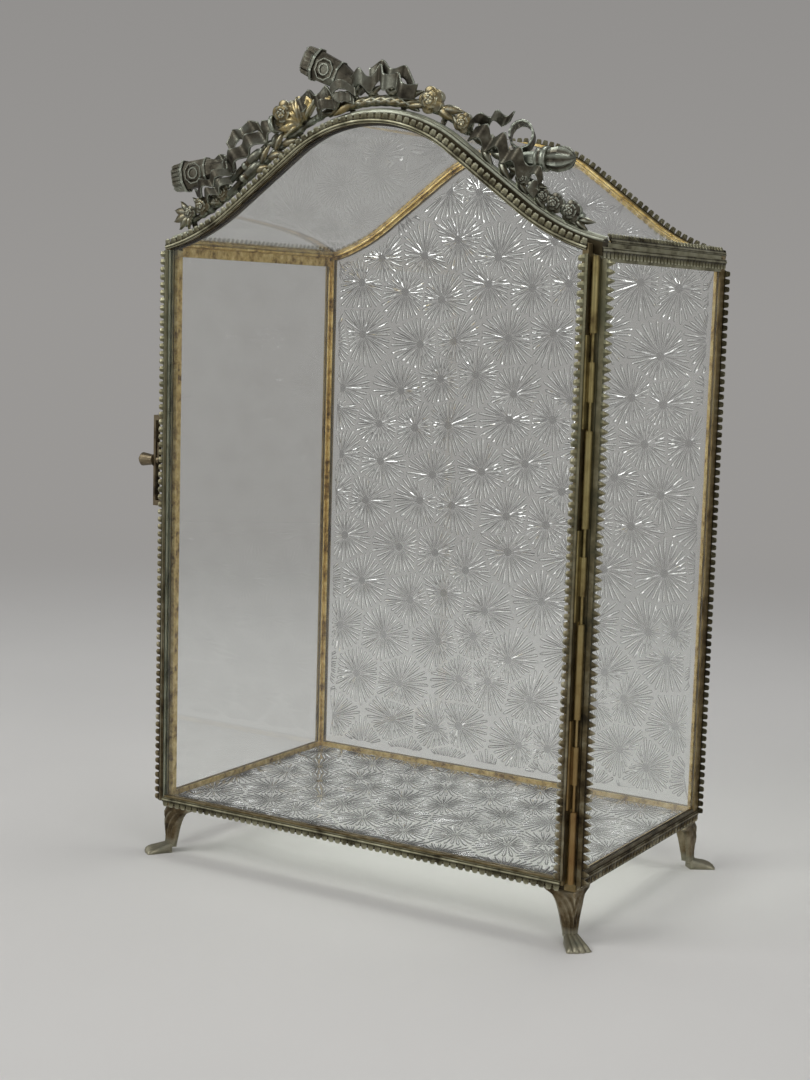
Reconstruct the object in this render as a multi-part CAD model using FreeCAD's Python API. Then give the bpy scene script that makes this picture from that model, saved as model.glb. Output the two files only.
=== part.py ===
import FreeCAD, Part
import math
import os

Vector = FreeCAD.Vector

# Driving dimensions of the case, in millimetres
CASE_WIDTH = 274.0
CASE_DEPTH = 170.0
POST_HEIGHT = 330.0
FOOT_HEIGHT = 29.0
SKIRT_DEPTH = 4.0

# Ogee of the roof: crown arc, straight flanks, eave arcs that flare out to the posts
CROWN_RADIUS = 87.0
FLANK_ANGLE = math.radians(36.0)
EAVE_RADIUS = 120.0
EAVE_ANGLE = math.radians(13.0)
EAVE_OVERRUN = math.radians(10.0)

# Glass and folded brass sections
GLASS = 2.5
SHEET = 1.0
SLOT_CLEARANCE = 0.2
PANE_CLEARANCE = 0.3
LEG_WIDTH = 6.5
CURB_HEIGHT = 4.5
LEDGE_WIDTH = 11.0
EAVE_SLOT_DEPTH = 4.5

# Door
DOOR_CLEARANCE = 0.5
DOOR_INSET = 2.0
LATCH_EDGE_SETBACK = 0.5
DOOR_LEG_WIDTH = 3.4

# Toothed edging strips
TOOTH_PITCH = 4.4
TOOTH_LENGTH = 3.1
EDGING_THICKNESS = 0.8
EDGING_BAND = 2.4
HINGE_BAND = 1.4
POST_BAND = 3.6
LEFT_STRIP_SETBACK = 2.25
ARCH_STRIP_DROP = 1.0
STRIP_CLEARANCE = 0.3
FLUTE_BAND = 7.0
FLUTE_HEIGHT = 0.9
FLUTE_COUNT = 2
FLUTE_WIDTH = 1.6
SCALLOP_LENGTH = 2.6
SCALLOP_PITCH = 8.8

# Hinge down the front right corner
TUBE_RADIUS = 1.8
PIN_RADIUS = 0.75
PIN_CLEARANCE = 0.06
HINGE_FIRST = 63.7
HINGE_PITCH = 98.5
HINGE_COUNT = 3
LEAF_HEIGHT = 47.0
LEAF_THICKNESS = 1.0
LEAF_RUN_CLEARANCE = 1.0
LEAF_SIDE_CLEARANCE = 0.3
KNUCKLE_HEIGHT = 20.0
HINGE_END_CLEARANCE = 1.0

# Latch on the left edge of the door
LATCH_HEIGHT = 203.0
LATCH_PLATE_HEIGHT = 53.0
LATCH_PLATE_WIDTH = 4.2
LATCH_PLATE_THICKNESS = 1.5
LATCH_STANDOFF = 6.0
LATCH_PLATE_FOOT = 3.0
KNOB_LENGTH = 11.0
KNOB_RADIUS = 4.0
KNOB_COLLAR = 1.4
KNOB_WAIST = 2.9
KNOB_BUTTON = 2.0
KNOB_FACETS = 16
KNOB_RUN_CLEARANCE = 0.3
SPINDLE_RADIUS = 1.2
SPINDLE_CLEARANCE = 0.06
HOOK_HUB_RADIUS = 2.2
HOOK_LENGTH = 10.5
HOOK_WIDTH = 2.4
HOOK_THICKNESS = 1.6
HOOK_LIP = 2.6
HOOK_LIP_WIDTH = 1.8
KEEPER_RADIUS = 1.0
KEEPER_CLEARANCE = 0.4

# Feet
EAR_LENGTH = 18.0
EAR_THICKNESS = 2.2
EAR_TIP = 3.0
KNEE_SIZE = 11.0
ANKLE_SIZE = 5.4
ANKLE_HEIGHT = 8.0
PAW_LENGTH = 13.0
PAW_WIDTH = 14.0
PAW_HEIGHT = 6.7
PAW_TIP_HEIGHT = 3.5
TOE_COUNT = 4

# Crest castings
CREST_SETBACK = 5.0
STEM_RADIUS = 2.8
STEM_RISE = 9.0
STUD_SIZE = 3.0
CREST_GAP = 0.3
QUIVER_HEAD = 8.0
QUIVER_BODY = 17.0
QUIVER_TAIL = 12.0
QUIVER_COLLAR = 4.0
QUIVER_HEIGHT = 16.0
QUIVER_DEPTH = 9.0
QUIVER_TAPER = 7.0
QUIVER_STEP = 2.0
QUIVER_SLOTS = 5
SLOT_WIDTH = 1.2
SLOT_CUT = 1.0
RIBBON_WIDTH = 8.0
RIBBON_THICKNESS = 2.0
RIBBON_BEND = 6.0
RIBBON_FACET = 50.0
ROSE_RADIUS = 9.0
ROSE_DEPTH = 7.0
PETAL_COUNT = 6
PETAL_STEP = 1.6
PETAL_NOTCH_SHARE = 0.74
LEAF_LENGTH = 13.0
LEAF_WIDTH = 5.6
LEAF_DEPTH = 4.0
LEAF_SPACING = 8.0
LEAF_TILT = 30.0
TORCH_HANDLE = 22.0
TORCH_FLAME = 15.0
TORCH_RADIUS = 6.2
TORCH_COLLAR = 3.0
TORCH_STEP = 1.4

# Crest layout: places from the crown as shares of the half rim, rises as shares of the stem's rise,
# rose and ribbon radii as shares of the full rose and the full bend, headings and turns in degrees.
# The sprig is placed by its run from the quiver's collar, the loop and the tail by the torch's axis.
LEFT_JOIN_SHARE = -0.245
RIGHT_JOIN_SHARE = 0.161

LEFT_TIP_RUN = -49.9
LEFT_STUDS = (-0.897, -0.645, -0.323)
LEFT_COLLAR = (-0.626, 2.28)
LEFT_QUIVER_HEADING = 190.0
LEFT_RIBBON_HEADING = 80.0
LEFT_RIBBON_BENDS = [(1.0, -100.0), (1.0, 100.0), (1.0, -100.0), (1.0, 100.0)]
LEFT_SPRIG = [(-47.0, 1.44, 0.72), (-30.5, 1.33, 0.56), (-15.5, 1.22, 0.51)]
LEFT_ROSES = [(-0.375, 2.11, 0.56), (-0.317, 1.72, 1.0)]
LEFT_PROP_TILT = 90.0
LEFT_LAUREL = (-0.407, -0.691)

MIDDLE_STUDS = (-0.103, 0.097)
MIDDLE_COLLAR = (-0.058, 1.67)
MIDDLE_QUIVER_HEADING = 156.0
MIDDLE_RIBBON_HEADING = 67.0
MIDDLE_RIBBON_BENDS = [(0.77, -150.0), (0.77, 150.0), (0.77, -150.0), (0.77, 150.0)]
MIDDLE_LAUREL_SHARE = 0.026

RIGHT_TIP_SHARE = 0.89
RIGHT_STUDS = (0.259, 0.574, 0.845)
RIGHT_TORCH_SHARE = 0.525
TORCH_HEADING = -1.0
RIGHT_ROSES = [(0.201, 1.22, 0.78), (0.332, 1.07, 0.56), (0.774, 0.91, 0.58), (0.856, 1.0, 0.61)]
RIGHT_LAUREL = (0.407, 0.729)
BAND_PLACE = (0.375, 1.0)
BAND_HEADING = 33.0
BAND_BENDS = [(13.3, -10.0), (5.0, 12.0)]
LOOP_ALONG = 5.7
LOOP_ABOVE = 3.0
LOOP_HEADING = 150.0
LOOP_BENDS = [(1.4, -300.0)]
TAIL_ALONG = 24.0
TAIL_ABOVE = -5.0
TAIL_HEADING = -75.0
TAIL_BENDS = [(1.67, 50.0)]

# Derived places
HALF = CASE_WIDTH / 2
SLOT = GLASS + SLOT_CLEARANCE
CAME = 2 * SHEET + SLOT
DOOR_THICKNESS = CAME
CASE_BACK = (CASE_DEPTH - DOOR_THICKNESS - DOOR_CLEARANCE) / 2
CASE_FRONT = -CASE_BACK
DOOR_BACK = CASE_FRONT - DOOR_CLEARANCE
DOOR_FRONT = DOOR_BACK - DOOR_THICKNESS
FLOOR = FOOT_HEIGHT + SKIRT_DEPTH
SPRING = FLOOR + POST_HEIGHT
REACH = CASE_WIDTH + CASE_DEPTH + POST_HEIGHT

CROWN_RUN = CROWN_RADIUS * math.sin(FLANK_ANGLE)
EAVE_RUN = EAVE_RADIUS * (math.sin(FLANK_ANGLE) - math.sin(EAVE_ANGLE))
FLANK_RUN = HALF - CROWN_RUN - EAVE_RUN
EAVE_RISE = EAVE_RADIUS * (math.cos(EAVE_ANGLE) - math.cos(FLANK_ANGLE))
FLANK_RISE = FLANK_RUN * math.tan(FLANK_ANGLE)
CROWN_CENTRE = SPRING + EAVE_RISE + FLANK_RISE - CROWN_RADIUS * math.cos(FLANK_ANGLE)
EAVE_CENTRE_X = HALF + EAVE_RADIUS * math.sin(EAVE_ANGLE)
EAVE_CENTRE_Z = SPRING + EAVE_RADIUS * math.cos(EAVE_ANGLE)
CROWN_LENGTH = CROWN_RADIUS * FLANK_ANGLE
FLANK_LENGTH = FLANK_RUN / math.cos(FLANK_ANGLE)
EAVE_LENGTH = EAVE_RADIUS * (FLANK_ANGLE - EAVE_ANGLE)
RIM_HALF_LENGTH = CROWN_LENGTH + FLANK_LENGTH + EAVE_LENGTH

HINGE_X = HALF - TUBE_RADIUS
HINGE_Y = CASE_FRONT - EDGING_THICKNESS - TUBE_RADIUS
DOOR_LEFT = -HALF + LATCH_EDGE_SETBACK
DOOR_RIGHT = HINGE_X - TUBE_RADIUS - LEAF_SIDE_CLEARANCE - LEAF_THICKNESS
CREST_Y = CASE_FRONT + CREST_SETBACK

parts = {}


# General shapes

def box(x0, x1, y0, y1, z0, z1):
    return Part.makeBox(x1 - x0, y1 - y0, z1 - z0, Vector(x0, y0, z0))


def prism(points, direction):
    outline = Part.makePolygon(points + [points[0]])
    return Part.Face(outline).extrude(direction)


def mirror_x(shape):
    return shape.mirror(Vector(0, 0, 0), Vector(1, 0, 0))


def mirror_y(shape):
    return shape.mirror(Vector(0, 0, 0), Vector(0, 1, 0))


def fuse(shapes):
    return shapes[0].multiFuse(shapes[1:]).removeSplitter()


# Ogee rim: edges and bands moved outward from the rim by an offset

def crown_point(angle, offset):
    radius = CROWN_RADIUS + offset
    return Vector(radius * math.sin(angle), 0, CROWN_CENTRE + radius * math.cos(angle))


def eave_point(side, angle, offset):
    radius = EAVE_RADIUS - offset
    return Vector(side * (EAVE_CENTRE_X - radius * math.sin(angle)), 0,
                  EAVE_CENTRE_Z - radius * math.cos(angle))


def rim_edges(offset):
    tail = EAVE_ANGLE - EAVE_OVERRUN
    middle = (FLANK_ANGLE + tail) / 2
    edges = [Part.Arc(eave_point(-1, tail, offset), eave_point(-1, middle, offset),
                      eave_point(-1, FLANK_ANGLE, offset)).toShape()]
    edges.append(Part.makeLine(eave_point(-1, FLANK_ANGLE, offset), crown_point(-FLANK_ANGLE, offset)))
    edges.append(Part.Arc(crown_point(-FLANK_ANGLE, offset), crown_point(0, offset),
                          crown_point(FLANK_ANGLE, offset)).toShape())
    edges.append(Part.makeLine(crown_point(FLANK_ANGLE, offset), eave_point(1, FLANK_ANGLE, offset)))
    edges.append(Part.Arc(eave_point(1, FLANK_ANGLE, offset), eave_point(1, middle, offset),
                          eave_point(1, tail, offset)).toShape())
    return edges


def rim_end(side, offset):
    return eave_point(side, EAVE_ANGLE - EAVE_OVERRUN, offset)


def rim_band(low, high, y0, y1, x0=-HALF, x1=HALF):
    edges = rim_edges(high)
    edges.append(Part.makeLine(rim_end(1, high), rim_end(1, low)))
    edges += rim_edges(low)
    edges.append(Part.makeLine(rim_end(-1, low), rim_end(-1, high)))
    face = Part.Face(Part.Wire(Part.__sortEdges__(edges)))
    face.translate(Vector(0, y0, 0))
    band = face.extrude(Vector(0, y1 - y0, 0))
    return band.common(box(x0, x1, y0, y1, 0, REACH))


def under_rim(offset, x0, x1, y0, y1, z0):
    left = rim_end(-1, offset)
    right = rim_end(1, offset)
    edges = rim_edges(offset)
    edges.append(Part.makeLine(right, Vector(right.x, 0, 0)))
    edges.append(Part.makeLine(Vector(right.x, 0, 0), Vector(left.x, 0, 0)))
    edges.append(Part.makeLine(Vector(left.x, 0, 0), left))
    face = Part.Face(Part.Wire(Part.__sortEdges__(edges)))
    face.translate(Vector(0, y0, 0))
    return face.extrude(Vector(0, y1 - y0, 0)).common(box(x0, x1, y0, y1, z0, REACH))


def rim_station(length, rise):
    """Point at a length along the rim from the crown, lifted by rise, and the slope there."""
    side = 1 if length >= 0 else -1
    run = abs(length)
    if run <= CROWN_LENGTH:
        angle = run / CROWN_RADIUS
        point = crown_point(side * angle, rise)
    elif run <= CROWN_LENGTH + FLANK_LENGTH:
        angle = FLANK_ANGLE
        along = run - CROWN_LENGTH
        point = crown_point(side * angle, rise)
        point = point + Vector(side * along * math.cos(angle), 0, -along * math.sin(angle))
    else:
        angle = FLANK_ANGLE - (run - CROWN_LENGTH - FLANK_LENGTH) / EAVE_RADIUS
        point = eave_point(side, angle, rise)
    return point, -side * angle


# Glazed frame: corner posts, base rails, eave rails and arch rails

def corner_points(points, side_x, front):
    """Section points given inward from a corner's two outer faces."""
    place = []
    for inward_x, inward_y in points:
        y = CASE_FRONT + inward_y if front else CASE_BACK - inward_y
        place.append(Vector(side_x * (HALF - inward_x), y, FOOT_HEIGHT))
    return place


def post(side_x, front):
    inner = CAME - SHEET
    section = [(0, 0), (0, LEG_WIDTH), (SHEET, LEG_WIDTH), (SHEET, CAME), (inner, CAME),
               (inner, LEG_WIDTH), (CAME, LEG_WIDTH)]
    if front:
        section += [(CAME, SHEET), (LEG_WIDTH, SHEET)]
    else:
        section += [(CAME, CAME), (LEG_WIDTH, CAME), (LEG_WIDTH, inner), (CAME, inner),
                    (CAME, SHEET), (LEG_WIDTH, SHEET)]
    section.append((LEG_WIDTH, 0))
    column = prism(corner_points(section, side_x, front), Vector(0, 0, SPRING - FOOT_HEIGHT))
    shoulder = rim_band(-LEG_WIDTH, LEG_WIDTH, CASE_FRONT - SHEET, CASE_BACK + SHEET,
                        -HALF - SHEET, HALF + SHEET)
    return column.cut(shoulder)


def glazed_rail_section():
    """Outer skirt, glass slot and floor ledge, as inward distance and height over the floor."""
    inner = CAME - SHEET
    return [(0, -SKIRT_DEPTH), (0, CURB_HEIGHT), (SHEET, CURB_HEIGHT), (SHEET, 0), (inner, 0),
            (inner, CURB_HEIGHT), (CAME, CURB_HEIGHT), (CAME, 0), (LEDGE_WIDTH, 0),
            (LEDGE_WIDTH, -SHEET), (SHEET, -SHEET), (SHEET, -SKIRT_DEPTH)]


def threshold_section():
    return [(0, -SKIRT_DEPTH), (0, GLASS), (SHEET, GLASS), (SHEET, 0), (LEDGE_WIDTH, 0),
            (LEDGE_WIDTH, -SHEET), (SHEET, -SHEET), (SHEET, -SKIRT_DEPTH)]


def mitre(side_x, front, keeps_side):
    """Corner of a floor ledge to cut away, so that two ledges meet on the diagonal."""
    edge = (LEDGE_WIDTH, LEG_WIDTH) if keeps_side else (LEG_WIDTH, LEDGE_WIDTH)
    triangle = [(LEG_WIDTH, LEG_WIDTH), edge, (LEDGE_WIDTH, LEDGE_WIDTH)]
    return prism(corner_points(triangle, side_x, front), Vector(0, 0, POST_HEIGHT))


def side_rail(side):
    start = CASE_FRONT + LEG_WIDTH
    points = [Vector(side * (HALF - inward), start, FLOOR + up) for inward, up in glazed_rail_section()]
    rail = prism(points, Vector(0, CASE_BACK - LEG_WIDTH - start, 0))
    return rail.cut([mitre(side, True, True), mitre(side, False, True)])


def cross_rail(section, front):
    start = -HALF + LEG_WIDTH
    outer = CASE_FRONT if front else CASE_BACK
    inward_sign = 1 if front else -1
    points = [Vector(start, outer + inward_sign * inward, FLOOR + up) for inward, up in section]
    rail = prism(points, Vector(-2 * start, 0, 0))
    return rail.cut([mitre(-1, front, False), mitre(1, front, False)])


def eave_rail():
    """Right eave: holds the top of the side pane and the lower edge of the roof pane."""
    y0 = CASE_FRONT + LEG_WIDTH
    y1 = CASE_BACK - LEG_WIDTH
    slot_top = SPRING - EAVE_SLOT_DEPTH
    leg_foot = slot_top - EAVE_SLOT_DEPTH
    inner_face = HALF - CAME
    core = under_rim(0, inner_face, HALF, y0, y1, slot_top)
    roof_leg = rim_band(-SHEET, 0, y0, y1, HALF - LEG_WIDTH - SHEET, HALF)
    under_leg = rim_band(-CAME, SHEET - CAME, y0, y1, HALF - LEG_WIDTH - SHEET, HALF)
    outer_leg = box(HALF - SHEET, HALF, y0, y1, leg_foot, slot_top)
    inner_leg = box(inner_face, inner_face + SHEET, y0, y1, leg_foot, slot_top)
    return fuse([core, roof_leg, under_leg, outer_leg, inner_leg])


def front_arch_rail():
    """Channel for the front edge of the roof, with a leg that the door closes against."""
    inner_y = CASE_FRONT + CAME
    end_y = CASE_FRONT + LEG_WIDTH
    web = rim_band(-CAME, 0, CASE_FRONT, inner_y)
    roof_leg = rim_band(-SHEET, 0, CASE_FRONT, end_y)
    under_leg = rim_band(-CAME, SHEET - CAME, CASE_FRONT, end_y)
    stop_leg = rim_band(-LEG_WIDTH, 0, CASE_FRONT, CASE_FRONT + SHEET)
    return fuse([web, roof_leg, under_leg, stop_leg])


def back_arch_rail():
    """Double channel for the back edge of the roof and the top of the back pane."""
    inner_y = CASE_BACK - CAME
    end_y = CASE_BACK - LEG_WIDTH
    web = rim_band(-CAME, 0, inner_y, CASE_BACK)
    roof_leg = rim_band(-SHEET, 0, end_y, CASE_BACK)
    under_leg = rim_band(-CAME, SHEET - CAME, end_y, CASE_BACK)
    outer_leg = rim_band(-LEG_WIDTH, 0, CASE_BACK - SHEET, CASE_BACK)
    inner_leg = rim_band(-LEG_WIDTH, 0, inner_y, inner_y + SHEET)
    return fuse([web, roof_leg, under_leg, outer_leg, inner_leg])


parts["post_front_left"] = post(-1, True)
parts["post_front_right"] = post(1, True)
parts["post_back_left"] = post(-1, False)
parts["post_back_right"] = post(1, False)
parts["base_rail_left"] = side_rail(-1)
parts["base_rail_right"] = side_rail(1)
parts["base_rail_front"] = cross_rail(threshold_section(), True)
parts["base_rail_back"] = cross_rail(glazed_rail_section(), False)
parts["eave_rail_right"] = eave_rail()
parts["eave_rail_left"] = mirror_x(parts["eave_rail_right"])
parts["front_arch_rail"] = front_arch_rail()
parts["back_arch_rail"] = back_arch_rail()


# Panes, each set in its slots with an edge clearance

PANE_FACE = SHEET + SLOT_CLEARANCE / 2
PANE_EDGE = CAME + PANE_CLEARANCE


def side_pane():
    return box(HALF - PANE_FACE - GLASS, HALF - PANE_FACE, CASE_FRONT + PANE_EDGE, CASE_BACK - PANE_EDGE,
               FLOOR, SPRING - EAVE_SLOT_DEPTH - PANE_CLEARANCE)


def floor_pane():
    return box(-HALF + PANE_EDGE, HALF - PANE_EDGE, CASE_FRONT + SHEET + PANE_CLEARANCE,
               CASE_BACK - PANE_EDGE, FLOOR, FLOOR + GLASS)


parts["right_pane"] = side_pane()
parts["left_pane"] = mirror_x(parts["right_pane"])
parts["floor_pane"] = floor_pane()
parts["back_pane"] = under_rim(-PANE_EDGE, -HALF + PANE_EDGE, HALF - PANE_EDGE,
                               CASE_BACK - PANE_FACE - GLASS, CASE_BACK - PANE_FACE, FLOOR)
parts["roof_pane"] = rim_band(-PANE_FACE - GLASS, -PANE_FACE, CASE_FRONT + PANE_EDGE,
                              CASE_BACK - PANE_EDGE, -HALF + PANE_EDGE, HALF - PANE_EDGE)


# Door: a folded channel round the glass, cut at its corners into stiles and rails

DOOR_SILL = FLOOR


def door_outline(inset, y0, y1):
    return under_rim(-DOOR_INSET - inset, DOOR_LEFT + inset, DOOR_RIGHT - inset, y0, y1, DOOR_SILL + inset)


def door_channel():
    ring = door_outline(0, DOOR_FRONT, DOOR_BACK).cut(door_outline(DOOR_LEG_WIDTH, DOOR_FRONT, DOOR_BACK))
    return ring.cut(door_outline(SHEET, DOOR_FRONT + SHEET, DOOR_BACK - SHEET))


def door_pieces():
    channel = door_channel()
    cut_height = SPRING - DOOR_INSET - DOOR_LEG_WIDTH
    inner_left = DOOR_LEFT + DOOR_LEG_WIDTH
    inner_right = DOOR_RIGHT - DOOR_LEG_WIDTH
    depth = (DOOR_FRONT, DOOR_BACK)
    arch = channel.common(box(-HALF, HALF, *depth, cut_height, REACH))
    left = channel.common(box(-HALF, inner_left, *depth, 0, cut_height))
    right = channel.common(box(inner_right, HALF, *depth, 0, cut_height))
    bottom = channel.common(box(inner_left, inner_right, *depth, 0, DOOR_SILL + DOOR_LEG_WIDTH))
    return arch, left, right, bottom


door_arch, door_left, door_right, door_bottom = door_pieces()
parts["door_arch_rail"] = door_arch
parts["door_stile_left"] = door_left
parts["door_stile_right"] = door_right
parts["door_bottom_rail"] = door_bottom
parts["door_glass"] = door_outline(SHEET + PANE_CLEARANCE, DOOR_FRONT + PANE_FACE,
                                   DOOR_FRONT + PANE_FACE + GLASS)


# Toothed edging strips

def edging(start, along, teeth, out, length, band=EDGING_BAND):
    """Straight strip from start: a plain band, with teeth that point along the teeth direction."""
    count = max(1, round(length / TOOTH_PITCH))
    pitch = length / count
    points = [start - teeth * band]
    for index in range(count):
        points.append(start + along * (pitch * index))
        points.append(start + along * (pitch * (index + 0.5)) + teeth * TOOTH_LENGTH)
    points.append(start + along * length)
    points.append(start + along * length - teeth * band)
    return prism(points, out * EDGING_THICKNESS)


def arch_edging(offset, y, start, end):
    """Strip along the rim from one length to another, with teeth pointing outward from the offset line."""
    count = round((end - start) / TOOTH_PITCH)
    pitch = (end - start) / count
    crest_line = []
    for index in range(count):
        crest_line.append(rim_station(start + pitch * index, offset)[0])
        crest_line.append(rim_station(start + pitch * (index + 0.5), offset + TOOTH_LENGTH)[0])
    crest_line.append(rim_station(end, offset)[0])
    band_line = []
    for index in range(count + 1):
        band_line.append(rim_station(end - pitch * index, offset - EDGING_BAND)[0])
    points = [point + Vector(0, y, 0) for point in crest_line + band_line]
    return prism(points, Vector(0, EDGING_THICKNESS, 0))


RIGHT = Vector(1, 0, 0)
BACK = Vector(0, 1, 0)
UP = Vector(0, 0, 1)
EDGING_TOP = SPRING - EAVE_SLOT_DEPTH - TOOTH_LENGTH - STRIP_CLEARANCE
SIDE_RUN = CASE_BACK - CASE_FRONT
DOOR_STRIP_Y = DOOR_FRONT - EDGING_THICKNESS

parts["edging_post_right"] = edging(Vector(HALF + POST_BAND, CASE_FRONT - EDGING_THICKNESS, FLOOR), UP, RIGHT,
                                    BACK, EDGING_TOP - FLOOR, POST_BAND + 2 * TUBE_RADIUS)
parts["edging_post_left"] = edging(
    Vector(-HALF, CASE_FRONT + LEFT_STRIP_SETBACK + EDGING_BAND, FLOOR + EDGING_BAND), UP, BACK, -RIGHT,
    EDGING_TOP - FLOOR - EDGING_BAND)
parts["edging_base_right"] = edging(Vector(HALF, CASE_FRONT, FLOOR), BACK, -UP, RIGHT, SIDE_RUN)
parts["edging_base_left"] = mirror_x(parts["edging_base_right"])
parts["edging_base_back"] = edging(Vector(-HALF + LEG_WIDTH, CASE_BACK, FLOOR), RIGHT, -UP, BACK,
                                   CASE_WIDTH - 2 * LEG_WIDTH)
parts["edging_eave_right"] = edging(Vector(HALF, CASE_FRONT, SPRING - EAVE_SLOT_DEPTH), BACK, -UP, RIGHT,
                                    SIDE_RUN)
parts["edging_eave_left"] = mirror_x(parts["edging_eave_right"])
parts["edging_back_right"] = edging(Vector(HALF, CASE_BACK, FLOOR), UP, RIGHT, BACK, EDGING_TOP - FLOOR)
parts["edging_back_left"] = mirror_x(parts["edging_back_right"])
parts["edging_back_arch"] = arch_edging(0, CASE_BACK, -RIM_HALF_LENGTH, RIM_HALF_LENGTH)


def roof_edging():
    """Right strip along the eave, its teeth lying up the slope of the roof."""
    foot = rim_station(RIM_HALF_LENGTH, 0)[0]
    up_slope = Vector(-math.cos(EAVE_ANGLE), 0, math.sin(EAVE_ANGLE))
    out = Vector(math.sin(EAVE_ANGLE), 0, math.cos(EAVE_ANGLE))
    sagitta = (EDGING_BAND + TOOTH_LENGTH) ** 2 / (2 * EAVE_RADIUS)
    run_start = CASE_FRONT + FLUTE_BAND + SCALLOP_LENGTH + STRIP_CLEARANCE
    start = foot + up_slope * EDGING_BAND + out * sagitta + Vector(0, run_start, 0)
    return edging(start, BACK, up_slope, out, CASE_BACK - run_start)


parts["edging_roof_right"] = roof_edging()
parts["edging_roof_left"] = mirror_x(parts["edging_roof_right"])

DOOR_SIDE_TOP = SPRING - DOOR_INSET - DOOR_LEG_WIDTH - STRIP_CLEARANCE
ARCH_STRIP_END = RIM_HALF_LENGTH - (HALF - DOOR_RIGHT) / math.cos(EAVE_ANGLE)
parts["door_edging_left"] = edging(Vector(DOOR_LEFT, DOOR_STRIP_Y, DOOR_SILL), UP, -RIGHT, BACK,
                                   DOOR_SIDE_TOP - DOOR_SILL)
parts["door_edging_bottom"] = edging(Vector(DOOR_LEFT + EDGING_BAND, DOOR_STRIP_Y, DOOR_SILL), RIGHT, -UP,
                                     BACK, DOOR_RIGHT - HINGE_BAND - DOOR_LEFT - EDGING_BAND)
parts["door_edging_hinge"] = edging(Vector(DOOR_RIGHT - HINGE_BAND, DOOR_STRIP_Y, DOOR_SILL + EDGING_BAND),
                                    UP, -RIGHT, BACK, DOOR_SIDE_TOP - DOOR_SILL - EDGING_BAND, HINGE_BAND)
parts["door_edging_arch"] = arch_edging(-DOOR_INSET - ARCH_STRIP_DROP, DOOR_STRIP_Y, -RIM_HALF_LENGTH,
                                        ARCH_STRIP_END)


# Fluted strip on the front edge of the roof, its rear edge cut in scallops

def fluted_strip():
    rear = CASE_FRONT + FLUTE_BAND
    tip = rear + SCALLOP_LENGTH
    strip = rim_band(0, SHEET, CASE_FRONT, tip)
    count = round(2 * RIM_HALF_LENGTH / SCALLOP_PITCH)
    pitch = 2 * RIM_HALF_LENGTH / count
    notches = []
    for index in range(count + 1):
        length = -RIM_HALF_LENGTH + pitch * index
        low, slope = rim_station(length, -SHEET)
        high = rim_station(length, 2 * SHEET)[0]
        along = Vector(math.cos(slope), 0, math.sin(slope)) * (pitch / 2)
        points = [low + Vector(0, rear, 0), low + along + Vector(0, tip, 0), low - along + Vector(0, tip, 0)]
        notches.append(prism(points, high - low))
    strip = strip.cut(notches)
    spacing = FLUTE_BAND / FLUTE_COUNT
    for index in range(FLUTE_COUNT):
        centre = CASE_FRONT + spacing * (index + 0.5)
        rib = rim_band(0, SHEET + FLUTE_HEIGHT, centre - FLUTE_WIDTH / 2, centre + FLUTE_WIDTH / 2)
        strip = strip.fuse(rib)
    return strip.removeSplitter()


parts["fluted_arch_strip"] = fluted_strip()


# Hinge: pin and fixed tubes on the post, leaves with knuckles on the door

def ring(radius, bore, z0, z1):
    centre = Vector(HINGE_X, HINGE_Y, z0)
    return Part.makeCylinder(radius, z1 - z0, centre).cut(Part.makeCylinder(bore, z1 - z0, centre))


def hinge_centres():
    return [FLOOR + HINGE_FIRST + HINGE_PITCH * index for index in range(HINGE_COUNT)]


def hinge_tubes():
    gap = LEAF_HEIGHT + 2 * LEAF_RUN_CLEARANCE
    starts = [FLOOR + HINGE_END_CLEARANCE] + [centre + gap / 2 for centre in hinge_centres()]
    ends = [centre - gap / 2 for centre in hinge_centres()] + [SPRING - LEG_WIDTH]
    return Part.Compound([ring(TUBE_RADIUS, PIN_RADIUS, z0, z1) for z0, z1 in zip(starts, ends)])


def hinge_leaf(centre):
    half_leaf = LEAF_HEIGHT / 2
    half_knuckle = KNUCKLE_HEIGHT / 2
    bore = PIN_RADIUS + PIN_CLEARANCE
    leaf = box(DOOR_RIGHT, DOOR_RIGHT + LEAF_THICKNESS, DOOR_FRONT, DOOR_BACK, centre - half_leaf,
               centre + half_leaf)
    web = box(DOOR_RIGHT, HINGE_X, HINGE_Y - LEAF_THICKNESS / 2, HINGE_Y + LEAF_THICKNESS / 2,
              centre - half_knuckle, centre + half_knuckle)
    foot_point = Vector(HINGE_X, HINGE_Y, centre - half_knuckle)
    barrel = Part.makeCylinder(TUBE_RADIUS - LEAF_SIDE_CLEARANCE, KNUCKLE_HEIGHT, foot_point)
    bore_tool = Part.makeCylinder(bore, KNUCKLE_HEIGHT, foot_point)
    return fuse([leaf, web, barrel]).cut(bore_tool)


parts["hinge_tubes"] = hinge_tubes()
parts["hinge_pin"] = Part.makeCylinder(PIN_RADIUS, SPRING - LEG_WIDTH - FLOOR - HINGE_END_CLEARANCE,
                                       Vector(HINGE_X, HINGE_Y, FLOOR + HINGE_END_CLEARANCE))
parts["hinge_leaves"] = Part.Compound([hinge_leaf(centre) for centre in hinge_centres()])


# Latch: bridge plate, turning knob with its spindle, hook, and a keeper stud on the post

LATCH_Y = (DOOR_FRONT + DOOR_BACK) / 2
LATCH_Z = FLOOR + LATCH_HEIGHT
PLATE_INNER = DOOR_LEFT - LATCH_STANDOFF
PLATE_OUTER = PLATE_INNER - LATCH_PLATE_THICKNESS
HOOK_OUTER = PLATE_INNER + KNOB_RUN_CLEARANCE
HOOK_INNER = HOOK_OUTER + HOOK_THICKNESS
SPINDLE_END = DOOR_LEFT - KNOB_RUN_CLEARANCE


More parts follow.
